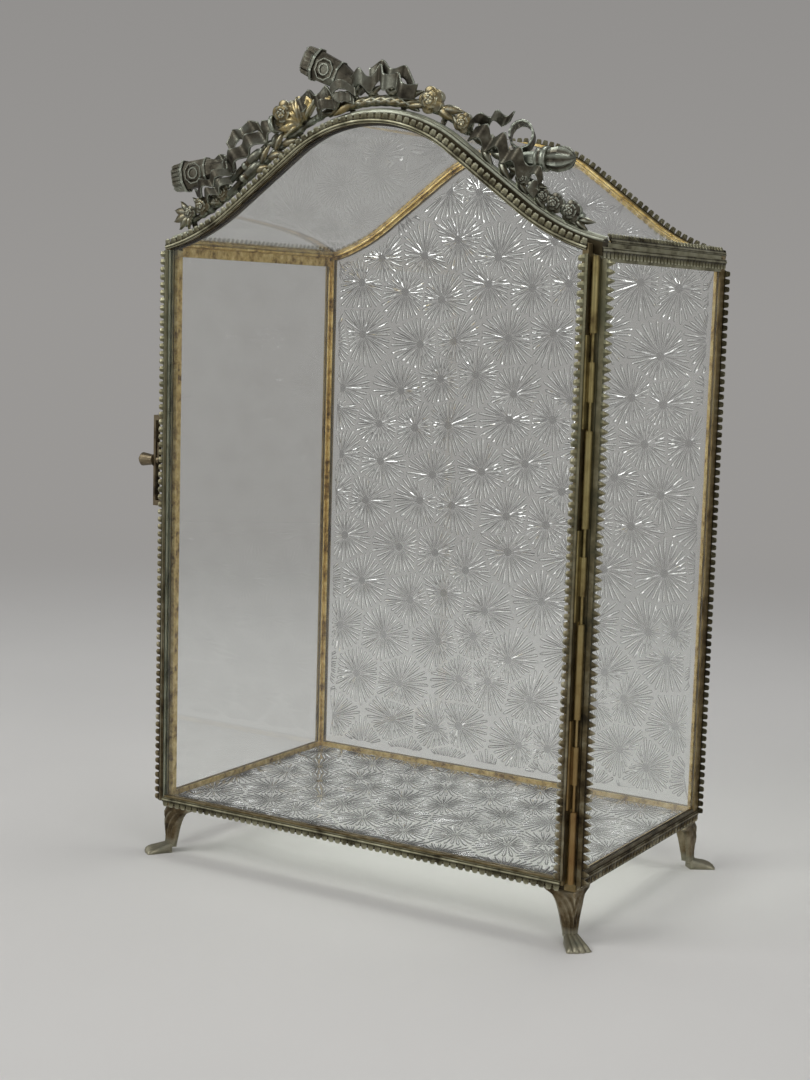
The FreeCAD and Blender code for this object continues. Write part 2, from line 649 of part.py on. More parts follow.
def latch_plate():
    half = LATCH_PLATE_HEIGHT / 2
    y0 = LATCH_Y - LATCH_PLATE_WIDTH / 2
    z0 = LATCH_Z - half
    z1 = LATCH_Z + half
    section = [Vector(DOOR_LEFT, y0, z0), Vector(PLATE_OUTER, y0, z0), Vector(PLATE_OUTER, y0, z1),
               Vector(DOOR_LEFT, y0, z1), Vector(DOOR_LEFT, y0, z1 - LATCH_PLATE_FOOT),
               Vector(PLATE_INNER, y0, z1 - LATCH_PLATE_FOOT), Vector(PLATE_INNER, y0, z0 + LATCH_PLATE_FOOT),
               Vector(DOOR_LEFT, y0, z0 + LATCH_PLATE_FOOT)]
    bridge = prism(section, Vector(0, LATCH_PLATE_WIDTH, 0))
    hole = Part.makeCylinder(SPINDLE_RADIUS + SPINDLE_CLEARANCE, LATCH_PLATE_THICKNESS,
                             Vector(PLATE_OUTER, LATCH_Y, LATCH_Z), RIGHT)
    return bridge.cut(hole)


def knob_ring(x, radius):
    """Ring of the knob's flat facets about its axis."""
    points = []
    for index in range(KNOB_FACETS + 1):
        angle = 2 * math.pi * index / KNOB_FACETS
        points.append(Vector(x, LATCH_Y + radius * math.cos(angle), LATCH_Z + radius * math.sin(angle)))
    return Part.makePolygon(points)


def latch_knob():
    """Knob with a collar, a waist and a button end in flat facets, on a round spindle."""
    collar = PLATE_OUTER - KNOB_RUN_CLEARANCE
    tip = collar - KNOB_LENGTH
    rings = [(collar, KNOB_RADIUS), (collar - KNOB_COLLAR, KNOB_WAIST), (tip + KNOB_BUTTON, KNOB_RADIUS),
             (tip, KNOB_BUTTON)]
    grip = Part.makeLoft([knob_ring(x, radius) for x, radius in rings], True, True)
    spindle = Part.makeCylinder(SPINDLE_RADIUS, SPINDLE_END - collar, Vector(collar, LATCH_Y, LATCH_Z), RIGHT)
    return fuse([grip, spindle])


def latch_hook():
    """Arm that stands up beside the door edge, its lip leading the turn towards the keeper."""
    half = HOOK_WIDTH / 2
    lip = half + HOOK_LIP
    inner = HOOK_LENGTH - HOOK_LIP_WIDTH
    outline = [(-half, 0), (-half, HOOK_LENGTH), (lip, HOOK_LENGTH), (lip, inner), (half, inner), (half, 0)]
    arm = prism([Vector(HOOK_OUTER, LATCH_Y + y, LATCH_Z + z) for y, z in outline], RIGHT * HOOK_THICKNESS)
    hub = Part.makeCylinder(HOOK_HUB_RADIUS, HOOK_THICKNESS, Vector(HOOK_OUTER, LATCH_Y, LATCH_Z), RIGHT)
    eye = Part.makeCylinder(SPINDLE_RADIUS, HOOK_THICKNESS, Vector(HOOK_OUTER, LATCH_Y, LATCH_Z), RIGHT)
    return fuse([arm, hub]).cut(eye)


def latch_keeper():
    """Stud that the lip drops behind when the knob is turned."""
    lip_face = LATCH_Y + HOOK_LENGTH - HOOK_LIP_WIDTH
    y = lip_face - KEEPER_CLEARANCE - KEEPER_RADIUS
    z = LATCH_Z - HOOK_WIDTH / 2 - KEEPER_CLEARANCE - KEEPER_RADIUS
    seat = -HALF - EDGING_THICKNESS
    return Part.makeCylinder(KEEPER_RADIUS, seat - HOOK_OUTER, Vector(seat, y, z), -RIGHT)


parts["latch_plate"] = latch_plate()
parts["latch_knob"] = latch_knob()
parts["latch_hook"] = latch_hook()
parts["latch_keeper"] = latch_keeper()


# Feet: ears under the rails, a curved leg and a paw turned out along the diagonal

def ear():
    """Front ear of the right foot: a flat bracket with a hollow curve under it."""
    top = FOOT_HEIGHT
    tip = HALF - EAR_LENGTH
    root = HALF - ANKLE_SIZE
    low = ANKLE_HEIGHT
    eye = top - EAR_TIP
    bow = 1 - math.sqrt(0.5)
    hollow = Vector(root - (root - tip) * bow, CASE_FRONT, eye - (eye - low) * bow)
    edges = [Part.makeLine(Vector(HALF, CASE_FRONT, low), Vector(HALF, CASE_FRONT, top))]
    edges.append(Part.makeLine(Vector(HALF, CASE_FRONT, top), Vector(tip, CASE_FRONT, top)))
    edges.append(Part.makeLine(Vector(tip, CASE_FRONT, top), Vector(tip, CASE_FRONT, eye)))
    edges.append(Part.Arc(Vector(tip, CASE_FRONT, eye), hollow, Vector(root, CASE_FRONT, low)).toShape())
    edges.append(Part.makeLine(Vector(root, CASE_FRONT, low), Vector(HALF, CASE_FRONT, low)))
    return Part.Face(Part.Wire(edges)).extrude(Vector(0, EAR_THICKNESS, 0))


def leg():
    """Tapering leg under the corner, upright outside and sloping in from the knee to the ankle inside."""
    side = [(0, PAW_TIP_HEIGHT), (0, FOOT_HEIGHT), (KNEE_SIZE, FOOT_HEIGHT), (ANKLE_SIZE, ANKLE_HEIGHT),
            (ANKLE_SIZE, PAW_TIP_HEIGHT)]
    across = prism([Vector(HALF - inward, CASE_FRONT, up) for inward, up in side], BACK * KNEE_SIZE)
    along = prism([Vector(HALF, CASE_FRONT + inward, up) for inward, up in side], -RIGHT * KNEE_SIZE)
    return across.common(along)


def paw():
    """Paw with rounded toes, highest at the instep."""
    half = PAW_WIDTH / 2
    toe = PAW_WIDTH / TOE_COUNT
    heel = ANKLE_SIZE
    outline = [Vector(-heel, heel / 2, 0), Vector(-heel, -heel / 2, 0)]
    for index in range(TOE_COUNT):
        y0 = -half + toe * index
        outline.append(Vector(PAW_LENGTH, y0, 0))
        outline.append(Vector(PAW_LENGTH + toe / 2, y0 + toe / 4, 0))
        outline.append(Vector(PAW_LENGTH + toe / 2, y0 + toe * 3 / 4, 0))
    outline.append(Vector(PAW_LENGTH, half, 0))
    slab = prism(outline, Vector(0, 0, PAW_HEIGHT))
    end = PAW_LENGTH + toe
    slope = [Vector(0, -PAW_WIDTH, PAW_HEIGHT), Vector(end, -PAW_WIDTH, PAW_TIP_HEIGHT),
             Vector(end, -PAW_WIDTH, PAW_HEIGHT)]
    slab = slab.cut(prism(slope, Vector(0, 2 * PAW_WIDTH, 0)))
    slab.rotate(Vector(0, 0, 0), UP, -45)
    slab.translate(Vector(HALF, CASE_FRONT, 0))
    return slab


def foot():
    front_ear = ear()
    side_ear = front_ear.mirror(Vector(HALF, CASE_FRONT, 0), Vector(1, 1, 0))
    return fuse([leg(), front_ear, side_ear, paw()])


parts["foot_front_right"] = foot()
parts["foot_front_left"] = mirror_x(parts["foot_front_right"])
parts["foot_back_right"] = mirror_y(parts["foot_front_right"])
parts["foot_back_left"] = mirror_x(parts["foot_back_right"])


# Crest: three castings on studs along the front arch, laid out by shares of the rim and the stem's rise

def crest_point(length, rise):
    point = rim_station(length, rise)[0]
    return Vector(point.x, CREST_Y, point.z)


def crest_place(share, lift):
    return crest_point(share * RIM_HALF_LENGTH, lift * STEM_RISE)


def rim_path(start, end, rise):
    """Wire of tangent arcs and lines along the rim between two lengths."""
    joints = [-CROWN_LENGTH - FLANK_LENGTH, -CROWN_LENGTH, CROWN_LENGTH, CROWN_LENGTH + FLANK_LENGTH]
    stops = [start] + [joint for joint in joints if start < joint < end] + [end]
    edges = []
    for first, last in zip(stops, stops[1:]):
        middle = (first + last) / 2
        if CROWN_LENGTH < abs(middle) < CROWN_LENGTH + FLANK_LENGTH:
            edges.append(Part.makeLine(crest_point(first, rise), crest_point(last, rise)))
        else:
            edges.append(Part.Arc(crest_point(first, rise), crest_point(middle, rise),
                                  crest_point(last, rise)).toShape())
    return Part.Wire(edges)


def stem(start, end):
    """Six-sided stem that follows the rim between two shares of it."""
    first = start * RIM_HALF_LENGTH
    path = rim_path(first, end * RIM_HALF_LENGTH, STEM_RISE)
    slope = rim_station(first, STEM_RISE)[1]
    out = Vector(-math.sin(slope), 0, math.cos(slope))
    corners = []
    for index in range(6):
        angle = math.pi / 3 * index
        corners.append(crest_point(first, STEM_RISE)
                       + (out * math.cos(angle) + BACK * math.sin(angle)) * STEM_RADIUS)
    section = Part.makePolygon(corners + [corners[0]])
    return path.makePipeShell([section], True, False)


def aim(shape, point, heading):
    """Turn a shape drawn along +X to a heading in the crest plane and set it at a point."""
    shape.rotate(Vector(0, 0, 0), Vector(0, -1, 0), heading)
    shape.translate(point)
    return shape


def octagon(along, height, depth):
    cut = min(height, depth) / 4
    y = depth / 2
    z = height / 2
    corners = [(-y, -z + cut), (-y, z - cut), (-y + cut, z), (y - cut, z), (y, z - cut), (y, -z + cut),
               (y - cut, -z), (-y + cut, -z)]
    points = [Vector(along, across, up) for across, up in corners]
    return Part.makePolygon(points + [points[0]])


def bar(start, height, depth, end, end_height, end_depth):
    """Eight-sided bar along +X from one section to another."""
    return Part.makeLoft([octagon(start, height, depth), octagon(end, end_height, end_depth)], True, True)


def stud(share):
    foot_point = crest_point(share * RIM_HALF_LENGTH, SHEET + FLUTE_HEIGHT)
    run = crest_place(share, 1) - foot_point
    shank = bar(0, STUD_SIZE, STUD_SIZE, run.Length, STUD_SIZE, STUD_SIZE)
    return aim(shank, foot_point, math.degrees(math.atan2(run.z, run.x)))


def quiver():
    """Quiver along +X: collar, tapering tail, box body, and a slotted head of arrow ends."""
    tail = QUIVER_COLLAR
    body = tail + QUIVER_TAIL
    head = body + QUIVER_BODY
    tip = head + QUIVER_HEAD
    collar_size = QUIVER_TAPER + QUIVER_STEP
    waist = QUIVER_HEIGHT - QUIVER_STEP
    solid = fuse([
        bar(0, collar_size, collar_size, tail, collar_size, collar_size),
        bar(tail, QUIVER_TAPER, QUIVER_TAPER, body, waist, QUIVER_DEPTH),
        bar(body, waist, QUIVER_DEPTH, head, QUIVER_HEIGHT, QUIVER_DEPTH),
        bar(head, QUIVER_HEIGHT + QUIVER_STEP, QUIVER_DEPTH + QUIVER_STEP, tip, QUIVER_HEIGHT, QUIVER_DEPTH)])
    spacing = QUIVER_HEIGHT / (QUIVER_SLOTS + 1)
    reach = QUIVER_DEPTH / 2 + QUIVER_STEP
    slots = []
    for index in range(QUIVER_SLOTS):
        z = -QUIVER_HEIGHT / 2 + spacing * (index + 1)
        front = box(head + SLOT_WIDTH, tip - SLOT_WIDTH, -reach, -QUIVER_DEPTH / 2 + SLOT_CUT,
                    z - SLOT_WIDTH / 2, z + SLOT_WIDTH / 2)
        slots.append(front)
        slots.append(front.mirror(Vector(0, 0, 0), Vector(0, 1, 0)))
    return solid.cut(slots)


def torch():
    """Torch along +X: tapered handle, collar and a swelling flame bud."""
    collar = TORCH_HANDLE
    cup = collar + TORCH_COLLAR
    belly = cup + TORCH_FLAME / 2
    tip = cup + TORCH_FLAME
    handle = TORCH_RADIUS
    neck = 2 * (TORCH_RADIUS - TORCH_STEP)
    widest = 2 * TORCH_RADIUS
    return fuse([
        bar(0, handle, handle, collar, neck, neck), bar(collar, widest, widest, cup, widest, widest),
        bar(cup, neck, neck, belly, widest, widest),
        bar(belly, widest, widest, tip, 2 * TORCH_STEP, 2 * TORCH_STEP)])


def ribbon(start, heading, bends):
    """Band on edge along a chain of bends, each a share of the full bend and a turn, in flat facets."""
    half = RIBBON_THICKNESS / 2
    point = Vector(start)
    angle = math.radians(heading)
    left = []
    right = []
    for share, turn in bends:
        radius = share * RIBBON_BEND
        side = 1 if turn > 0 else -1
        centre = point + Vector(-math.sin(angle), 0, math.cos(angle)) * (side * radius)
        count = math.ceil(abs(turn) / RIBBON_FACET)
        for index in range(count + 1):
            here = angle + math.radians(turn) * index / count
            out = Vector(math.sin(here), 0, -math.cos(here)) * side
            if index or not left:
                left.append(centre + out * (radius - side * half))
                right.append(centre + out * (radius + side * half))
        point = centre + out * radius
        angle = here
    band = prism(left + right[::-1], Vector(0, RIBBON_WIDTH, 0))
    band.translate(Vector(0, -RIBBON_WIDTH / 2, 0))
    return band


def petals(radius, depth, turn):
    """Round petalled disc in flat facets that faces the front, centred on the origin."""
    step = 2 * math.pi / PETAL_COUNT
    points = []
    for index in range(PETAL_COUNT):
        for share, span in ((0, radius * PETAL_NOTCH_SHARE), (0.5, radius)):
            angle = step * (index + share) + turn
            points.append(Vector(span * math.cos(angle), -depth / 2, span * math.sin(angle)))
    return prism(points, Vector(0, depth, 0))


def rose(share, lift, size):
    """Rosette of two rings of petals, the inner ring standing proud."""
    radius = size * ROSE_RADIUS
    inner = petals(radius - PETAL_STEP, ROSE_DEPTH + PETAL_STEP, math.pi / PETAL_COUNT)
    flower = fuse([petals(radius, ROSE_DEPTH, 0), inner])
    flower.translate(crest_place(share, lift))
    return flower


def leaf(share, tilt):
    """Pointed leaf that springs from the stem at a tilt to the rim's slope."""
    outline = [(0, 0), (0.3, -0.45), (0.65, -0.4), (1, 0), (0.65, 0.4), (0.3, 0.45)]
    blade = prism([Vector(along * LEAF_LENGTH, -LEAF_DEPTH / 2, across * LEAF_WIDTH)
                   for along, across in outline], Vector(0, LEAF_DEPTH, 0))
    slope = rim_station(share * RIM_HALF_LENGTH, STEM_RISE)[1]
    return aim(blade, crest_place(share, 1), math.degrees(slope) + tilt)


def laurel(start, end):
    """Leaves in alternation along a stretch of stem, pointing from its start to its end."""
    count = round(abs(end - start) * RIM_HALF_LENGTH / LEAF_SPACING)
    base = 180 if end < start else 0
    leaves = []
    for index in range(count):
        side = 1 if index % 2 else -1
        leaves.append(leaf(start + (end - start) * (index + 0.5) / count, base + side * LEAF_TILT))
    return leaves


def from_collar(run):
    """Share of the rim at a run along it from the left quiver's collar."""
    return LEFT_COLLAR[0] + run / RIM_HALF_LENGTH


def torch_point(along, above):
    """Point by the torch, along its axis from its foot and above it."""
    heading = math.radians(TORCH_HEADING)
    axis = Vector(math.cos(heading), 0, math.sin(heading))
    upright = Vector(-math.sin(heading), 0, math.cos(heading))
    return crest_place(RIGHT_TORCH_SHARE, 1) + axis * along + upright * above


def left_casting():
    collar = crest_place(*LEFT_COLLAR)
    shapes = [stem(from_collar(LEFT_TIP_RUN), LEFT_JOIN_SHARE - CREST_GAP / RIM_HALF_LENGTH)]
    shapes += [stud(share) for share in LEFT_STUDS]
    shapes.append(aim(quiver(), collar, LEFT_QUIVER_HEADING))
    shapes.append(ribbon(collar, LEFT_RIBBON_HEADING, LEFT_RIBBON_BENDS))
    shapes += [rose(from_collar(run), lift, size) for run, lift, size in LEFT_SPRIG]
    shapes += [rose(*place) for place in LEFT_ROSES]
    shapes.append(leaf(LEFT_COLLAR[0], LEFT_PROP_TILT))
    shapes += laurel(*LEFT_LAUREL)
    return fuse(shapes)


def middle_casting():
    collar = crest_place(*MIDDLE_COLLAR)
    shapes = [stem(LEFT_JOIN_SHARE, RIGHT_JOIN_SHARE - CREST_GAP / RIM_HALF_LENGTH)]
    shapes += [stud(share) for share in MIDDLE_STUDS]
    shapes.append(aim(quiver(), collar, MIDDLE_QUIVER_HEADING))
    shapes.append(ribbon(collar, MIDDLE_RIBBON_HEADING, MIDDLE_RIBBON_BENDS))
    shapes += laurel(LEFT_JOIN_SHARE, -MIDDLE_LAUREL_SHARE)
    shapes += laurel(RIGHT_JOIN_SHARE, MIDDLE_LAUREL_SHARE)
    return fuse(shapes)


def right_casting():
    shapes = [stem(RIGHT_JOIN_SHARE, RIGHT_TIP_SHARE)]
    shapes += [stud(share) for share in RIGHT_STUDS]
    shapes.append(aim(torch(), crest_place(RIGHT_TORCH_SHARE, 1), TORCH_HEADING))
    shapes.append(ribbon(crest_place(*BAND_PLACE), BAND_HEADING, BAND_BENDS))
    shapes.append(ribbon(torch_point(LOOP_ALONG, LOOP_ABOVE), LOOP_HEADING, LOOP_BENDS))
    shapes.append(ribbon(torch_point(TAIL_ALONG, TAIL_ABOVE), TAIL_HEADING, TAIL_BENDS))
    shapes += [rose(*place) for place in RIGHT_ROSES]
    shapes += laurel(*RIGHT_LAUREL)
    return fuse(shapes)


parts["crest_left"] = left_casting()
parts["crest_middle"] = middle_casting()
parts["crest_right"] = right_casting()

os.makedirs("parts", exist_ok=True)
for name, shape in parts.items():
    if not shape.isValid():
        print("invalid", name)
    shape.exportStep("parts/" + name + ".step")
print(len(parts), "nodes")
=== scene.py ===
import bpy
import bmesh
import math
import random
from mathutils import Matrix, Vector
from mathutils.geometry import delaunay_2d_cdt


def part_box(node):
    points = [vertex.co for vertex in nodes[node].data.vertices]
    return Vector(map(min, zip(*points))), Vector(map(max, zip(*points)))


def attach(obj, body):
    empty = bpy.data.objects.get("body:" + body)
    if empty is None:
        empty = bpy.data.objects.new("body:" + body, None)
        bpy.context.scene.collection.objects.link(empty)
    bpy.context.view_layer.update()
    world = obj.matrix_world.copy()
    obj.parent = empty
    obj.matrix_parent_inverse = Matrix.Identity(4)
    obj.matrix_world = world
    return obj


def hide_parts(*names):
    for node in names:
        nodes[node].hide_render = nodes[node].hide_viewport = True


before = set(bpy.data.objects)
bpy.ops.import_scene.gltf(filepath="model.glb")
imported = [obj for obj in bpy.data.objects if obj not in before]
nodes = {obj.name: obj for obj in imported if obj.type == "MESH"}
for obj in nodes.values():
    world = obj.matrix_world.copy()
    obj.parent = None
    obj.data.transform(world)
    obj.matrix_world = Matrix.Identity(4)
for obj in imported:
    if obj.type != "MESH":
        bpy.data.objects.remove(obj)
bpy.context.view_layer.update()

# Studio: a pale floor that fades into a grey background, against which the glass shows, soft lamps, and
# a camera at table height off the front right corner, where the case shows its door, side and roof.
scene = bpy.context.scene
scene.view_settings.view_transform = "Standard"
BACKGROUND_LOW = (0.32, 0.31, 0.30, 1.0)
BACKGROUND_HIGH = (0.15, 0.147, 0.147, 1.0)
SKY_TOP = 0.85
AMBIENT_COLOUR, AMBIENT_STRENGTH = (0.95, 0.97, 1.0, 1.0), 0.30


def put(tree, kind, sockets=(), **settings):
    """Add a node; a socket given another node's output is linked, any other value is set."""
    node = tree.nodes.new(kind)
    for key, value in settings.items():
        setattr(node, key, value)
    for key, value in dict(sockets).items():
        if isinstance(value, bpy.types.NodeSocket):
            tree.links.new(value, node.inputs[key])
        else:
            node.inputs[key].default_value = value
    return node


def math_node(tree, operation, first, second=0.0):
    return put(tree, "ShaderNodeMath", {0: first, 1: second}, operation=operation).outputs[0]


def remap(tree, value, low, high, start=0.0, end=1.0):
    """Carry a value from the span low to high over to the span start to end."""
    return put(tree, "ShaderNodeMapRange", {"Value": value, "From Min": low, "From Max": high,
                                            "To Min": start, "To Max": end}).outputs["Result"]


def blend(tree, share, first, second):
    return put(tree, "ShaderNodeMix", {"Factor": share, "A": first, "B": second},
               data_type="RGBA").outputs["Result"]


def mix_shaders(tree, share, first, second):
    return put(tree, "ShaderNodeMixShader", {0: share, 1: first.outputs[0], 2: second.outputs[0]})


def seen_rays(tree):
    """One for rays that come from the camera, straight, off metal or through glass."""
    rays = put(tree, "ShaderNodeLightPath").outputs
    straight = math_node(tree, "MAXIMUM", rays["Is Camera Ray"], rays["Is Glossy Ray"])
    return math_node(tree, "MAXIMUM", straight, rays["Is Transmission Ray"])


world = bpy.data.worlds.new("studio_world")
scene.world = world
world.use_nodes = True
tree = world.node_tree
tree.nodes.clear()
view = put(tree, "ShaderNodeTexCoord").outputs["Generated"]
height = put(tree, "ShaderNodeSeparateXYZ", {0: view}).outputs["Z"]
sky = blend(tree, remap(tree, height, 0.0, SKY_TOP), BACKGROUND_LOW, BACKGROUND_HIGH)
backdrop = put(tree, "ShaderNodeBackground", {"Color": sky, "Strength": 1.0})
ambient = put(tree, "ShaderNodeBackground", {"Color": AMBIENT_COLOUR, "Strength": AMBIENT_STRENGTH})
shown = mix_shaders(tree, seen_rays(tree), ambient, backdrop)
put(tree, "ShaderNodeOutputWorld", {"Surface": shown.outputs[0]})

FLOOR_COLOUR = (0.66, 0.645, 0.62)
FLOOR_RADIUS, FLOOR_SIDES = 4.0, 96
FADE_START, FADE_END = 0.45, 1.7
FLOOR_MOTTLE, FLOOR_TONES = 5.0, (0.97, 1.03)


def blank_material(name):
    material = bpy.data.materials.new(name)
    material.use_nodes = True
    material.node_tree.nodes.clear()
    return material, material.node_tree


def object_place(tree):
    return put(tree, "ShaderNodeTexCoord").outputs["Object"]


def noise(tree, place, scale, detail, roughness=0.5):
    return put(tree, "ShaderNodeTexNoise", {"Vector": place, "Scale": scale, "Detail": detail,
                                            "Roughness": roughness}).outputs["Fac"]


def stand(name, data):
    """Put data into the scene as an object at the origin."""
    thing = bpy.data.objects.new(name, data)
    scene.collection.objects.link(thing)
    return thing


floor_paint, tree = blank_material("studio_floor")
place = object_place(tree)
away = put(tree, "ShaderNodeVectorMath", {0: place}, operation="LENGTH").outputs["Value"]
fade = put(tree, "ShaderNodeMapRange", {"Value": away, "From Min": FADE_START, "From Max": FADE_END},
           interpolation_type="SMOOTHERSTEP").outputs["Result"]
tone = remap(tree, noise(tree, place, FLOOR_MOTTLE, 3.0), 0.0, 1.0, *FLOOR_TONES)
shade = put(tree, "ShaderNodeVectorMath", {0: FLOOR_COLOUR, 3: tone}, operation="SCALE").outputs[0]
matt = put(tree, "ShaderNodeBsdfDiffuse", {"Color": shade})
glow = put(tree, "ShaderNodeEmission", {"Color": BACKGROUND_LOW})
mixed = mix_shaders(tree, math_node(tree, "MULTIPLY", fade, seen_rays(tree)), matt, glow)
put(tree, "ShaderNodeOutputMaterial", {"Surface": mixed.outputs[0]})
sheet = bmesh.new()
bmesh.ops.create_circle(sheet, cap_ends=True, radius=FLOOR_RADIUS, segments=FLOOR_SIDES)
ground = bpy.data.meshes.new("studio_floor")
sheet.to_mesh(ground)
sheet.free()
ground.materials.append(floor_paint)
floor = stand("studio_floor", ground)

LAMPS = [("key_lamp", (-0.95, -1.25, 1.35), 1.0, 15.0), ("fill_lamp", (1.35, -0.75, 0.95), 0.9, 6.0),
         ("top_lamp", (0.15, 0.25, 1.75), 0.5, 6.0)]
LAMP_TARGET = Vector((0.0, 0.0, 0.24))
for lamp_name, spot, width, power in LAMPS:
    lamp = bpy.data.lights.new(lamp_name, "AREA")
    lamp.size = width
    lamp.energy = power
    holder = stand(lamp_name, lamp)
    holder.location = spot
    holder.rotation_euler = (LAMP_TARGET - Vector(spot)).to_track_quat("-Z", "Y").to_euler()

CAMERA_PLACE = Vector((0.5209, -0.8902, 0.3256))
CAMERA_YAW, CAMERA_PITCH, CAMERA_ROLL = math.radians(31.44), math.radians(7.32), math.radians(-1.63)
CAMERA_LENS, CAMERA_FILM = 58.93, 36.0
level = Vector((math.cos(CAMERA_YAW), math.sin(CAMERA_YAW), 0.0))
ahead = Vector((-math.sin(CAMERA_YAW) * math.cos(CAMERA_PITCH),
                math.cos(CAMERA_YAW) * math.cos(CAMERA_PITCH), -math.sin(CAMERA_PITCH)))
down = ahead.cross(level)
side_axis = math.cos(CAMERA_ROLL) * level + math.sin(CAMERA_ROLL) * down
down_axis = math.cos(CAMERA_ROLL) * down - math.sin(CAMERA_ROLL) * level
lens = bpy.data.cameras.new("photo_camera")
lens.lens = CAMERA_LENS
lens.sensor_width = CAMERA_FILM
camera = stand("photo_camera", lens)
turn = Matrix((side_axis, -down_axis, -ahead)).transposed().to_4x4()
camera.matrix_world = Matrix.Translation(CAMERA_PLACE) @ turn
scene.camera = camera

# Feet: four cast bronze legs under the corners. A ribbed bracket wraps the corner with an ear under
# each rail, narrows to an ankle and ends in a paw turned out along the diagonal. Soldered on.
MM = 0.001
HALF, CASE_BACK, FOOT_HEIGHT = 137.0, 82.4, 29.0
LEG_ROWS = [(29.0, 18.0, 0.0), (27.2, 17.2, 0.3), (26.0, 14.5, 0.7), (25.0, 12.6, 1.0), (22.5, 10.8, 1.3),
            (19.5, 9.4, 1.2), (16.0, 8.2, 0.7), (13.0, 7.4, 0.3), (10.0, 6.7, 0.0), (7.2, 5.9, 0.1),
            (5.0, 5.4, 0.6), (3.4, 5.2, 0.9)]
LEG_STEPS, LEG_WALL, LEG_RIBS, CORNER_ROUND = 24, 2.3, 5, 1.1
VEIN_START, VEIN_CLIMB, VEIN_DEPTH, VEIN_FADE, BULGE_SHARE = 14.0, 0.6, 0.7, 4.0, 0.7
PAW_REACH, PAW_ROOT, PAW_HALF_WIDTH, ANKLE_HALF_WIDTH = 11.4, 4.6, 6.9, 3.9
PAW_ROWS = [(0.0, 6.6), (0.15, 6.2), (0.3, 5.5), (0.45, 4.8), (0.6, 4.1), (0.74, 3.6), (0.86, 2.9),
            (0.95, 2.0), (1.0, 1.0)]
PAW_STEPS, PAW_TOES, PAW_GROOVE, PAW_EDGE = 32, 4, 1.0, 0.5
TOE_ROUND, TOE_NOTCH, TOE_SWEEP, PAW_ARCH = 0.7, 0.5, 1.3, 0.3
DIAGONAL = 0.7071
METALLIC, GRAIN_FINENESS, GRAIN_BUMP, GRAIN_DEPTH = 0.88, 11.0, 0.3, 0.0004
DARK_PATCH, BODY_PATCH, PALE_PATCH, PALE_SHARE = 0.34, 0.5, 0.70, 0.45
# Spans of the mark for pale edges (wear and painted highlight) and for dark hollows (painted shade), and the
# darkness of that painted shade.
EDGE_WEAR_AND_HIGHLIGHT, HOLLOW_PAINTED_SHADE_SPAN, HOLLOW_PAINTED_SHADE, GRAIN_LIFT = (0.56, 0.86), (0.46, 0.2), 0.5, 0.35
GLOSS_PATCH, SEAM, WEAR_GAIN = (0.3, 0.7), 1e-6, 0.9
PAW_RUB, RUBBED_BRONZE = (0.0065, 0.0095), (0.40, 0.40, 0.31)


def ramp(tree, value, stops):
    """Colour by a value, from stops as a place and a colour."""
    node = put(tree, "ShaderNodeValToRGB", {"Fac": value})
    elements = node.color_ramp.elements
    for element, (position, colour) in zip(elements, (stops[0], stops[-1])):
        element.position = position
        element.color = (*colour, 1.0)
    for position, colour in stops[1:-1]:
        elements.new(position).color = (*colour, 1.0)
    return node.outputs["Color"]


def aged_metal(name, dark, body, bright, roughness=(0.32, 0.6), patch=55.0, worn=True):
    """Old metal: tarnish in patches, fine grain, and, where marked, pale edges (wear and painted highlight)
    and painted shade in hollows.
    """
    metal, tree = blank_material(name)
    place = object_place(tree)
    patches = noise(tree, place, patch, 7.0, 0.62)
    grain = noise(tree, place, patch * GRAIN_FINENESS, 4.0, 0.6)
    pale = [PALE_SHARE * b + (1.0 - PALE_SHARE) * c for b, c in zip(bright, body)]
    colour = ramp(tree, patches, [(DARK_PATCH, dark), (BODY_PATCH, body), (PALE_PATCH, pale)])
    if worn:
        # Proud edges turn pale, for wear and as a painted highlight; hollows are darkened as painted shade.
        wear = put(tree, "ShaderNodeAttribute", attribute_name="wear").outputs["Fac"]
        edge = remap(tree, wear, *EDGE_WEAR_AND_HIGHLIGHT)
        edge = math_node(tree, "MULTIPLY", edge, math_node(tree, "ADD", grain, GRAIN_LIFT))
        painted_hollow_shade = remap(tree, wear, *HOLLOW_PAINTED_SHADE_SPAN)
        colour = blend(tree, painted_hollow_shade, colour, (*(HOLLOW_PAINTED_SHADE * c for c in dark), 1.0))
        colour = blend(tree, edge, colour, (*bright, 1.0))
    gloss = remap(tree, patches, *GLOSS_PATCH, roughness[1], roughness[0])
    relief = put(tree, "ShaderNodeBump", {"Height": grain, "Strength": GRAIN_BUMP, "Distance": GRAIN_DEPTH})
    skin = put(tree, "ShaderNodeBsdfPrincipled", {"Base Color": colour, "Roughness": gloss,
                                                  "Metallic": METALLIC, "Normal": relief.outputs["Normal"]})
    put(tree, "ShaderNodeOutputMaterial", {"Surface": skin.outputs[0]})
    return metal


def tint(metal, share, colour):
    """Lay a second colour over a metal's own by a share between nought and one."""
    tree = metal.node_tree
    skin = next(node for node in tree.nodes if node.type == "BSDF_PRINCIPLED")
    under = skin.inputs["Base Color"].links[0].from_socket
    tree.links.new(blend(tree, share, under, colour), skin.inputs["Base Color"])


def place_axes(tree):
    return put(tree, "ShaderNodeSeparateXYZ", {0: object_place(tree)}).outputs


def tint_by_height(metal, low, high, start, end, colour):
    """Tint a metal by a share that runs from start to end between two heights."""
    tree = metal.node_tree
    tint(metal, remap(tree, place_axes(tree)["Z"], low, high, start, end), (*colour, 1.0))


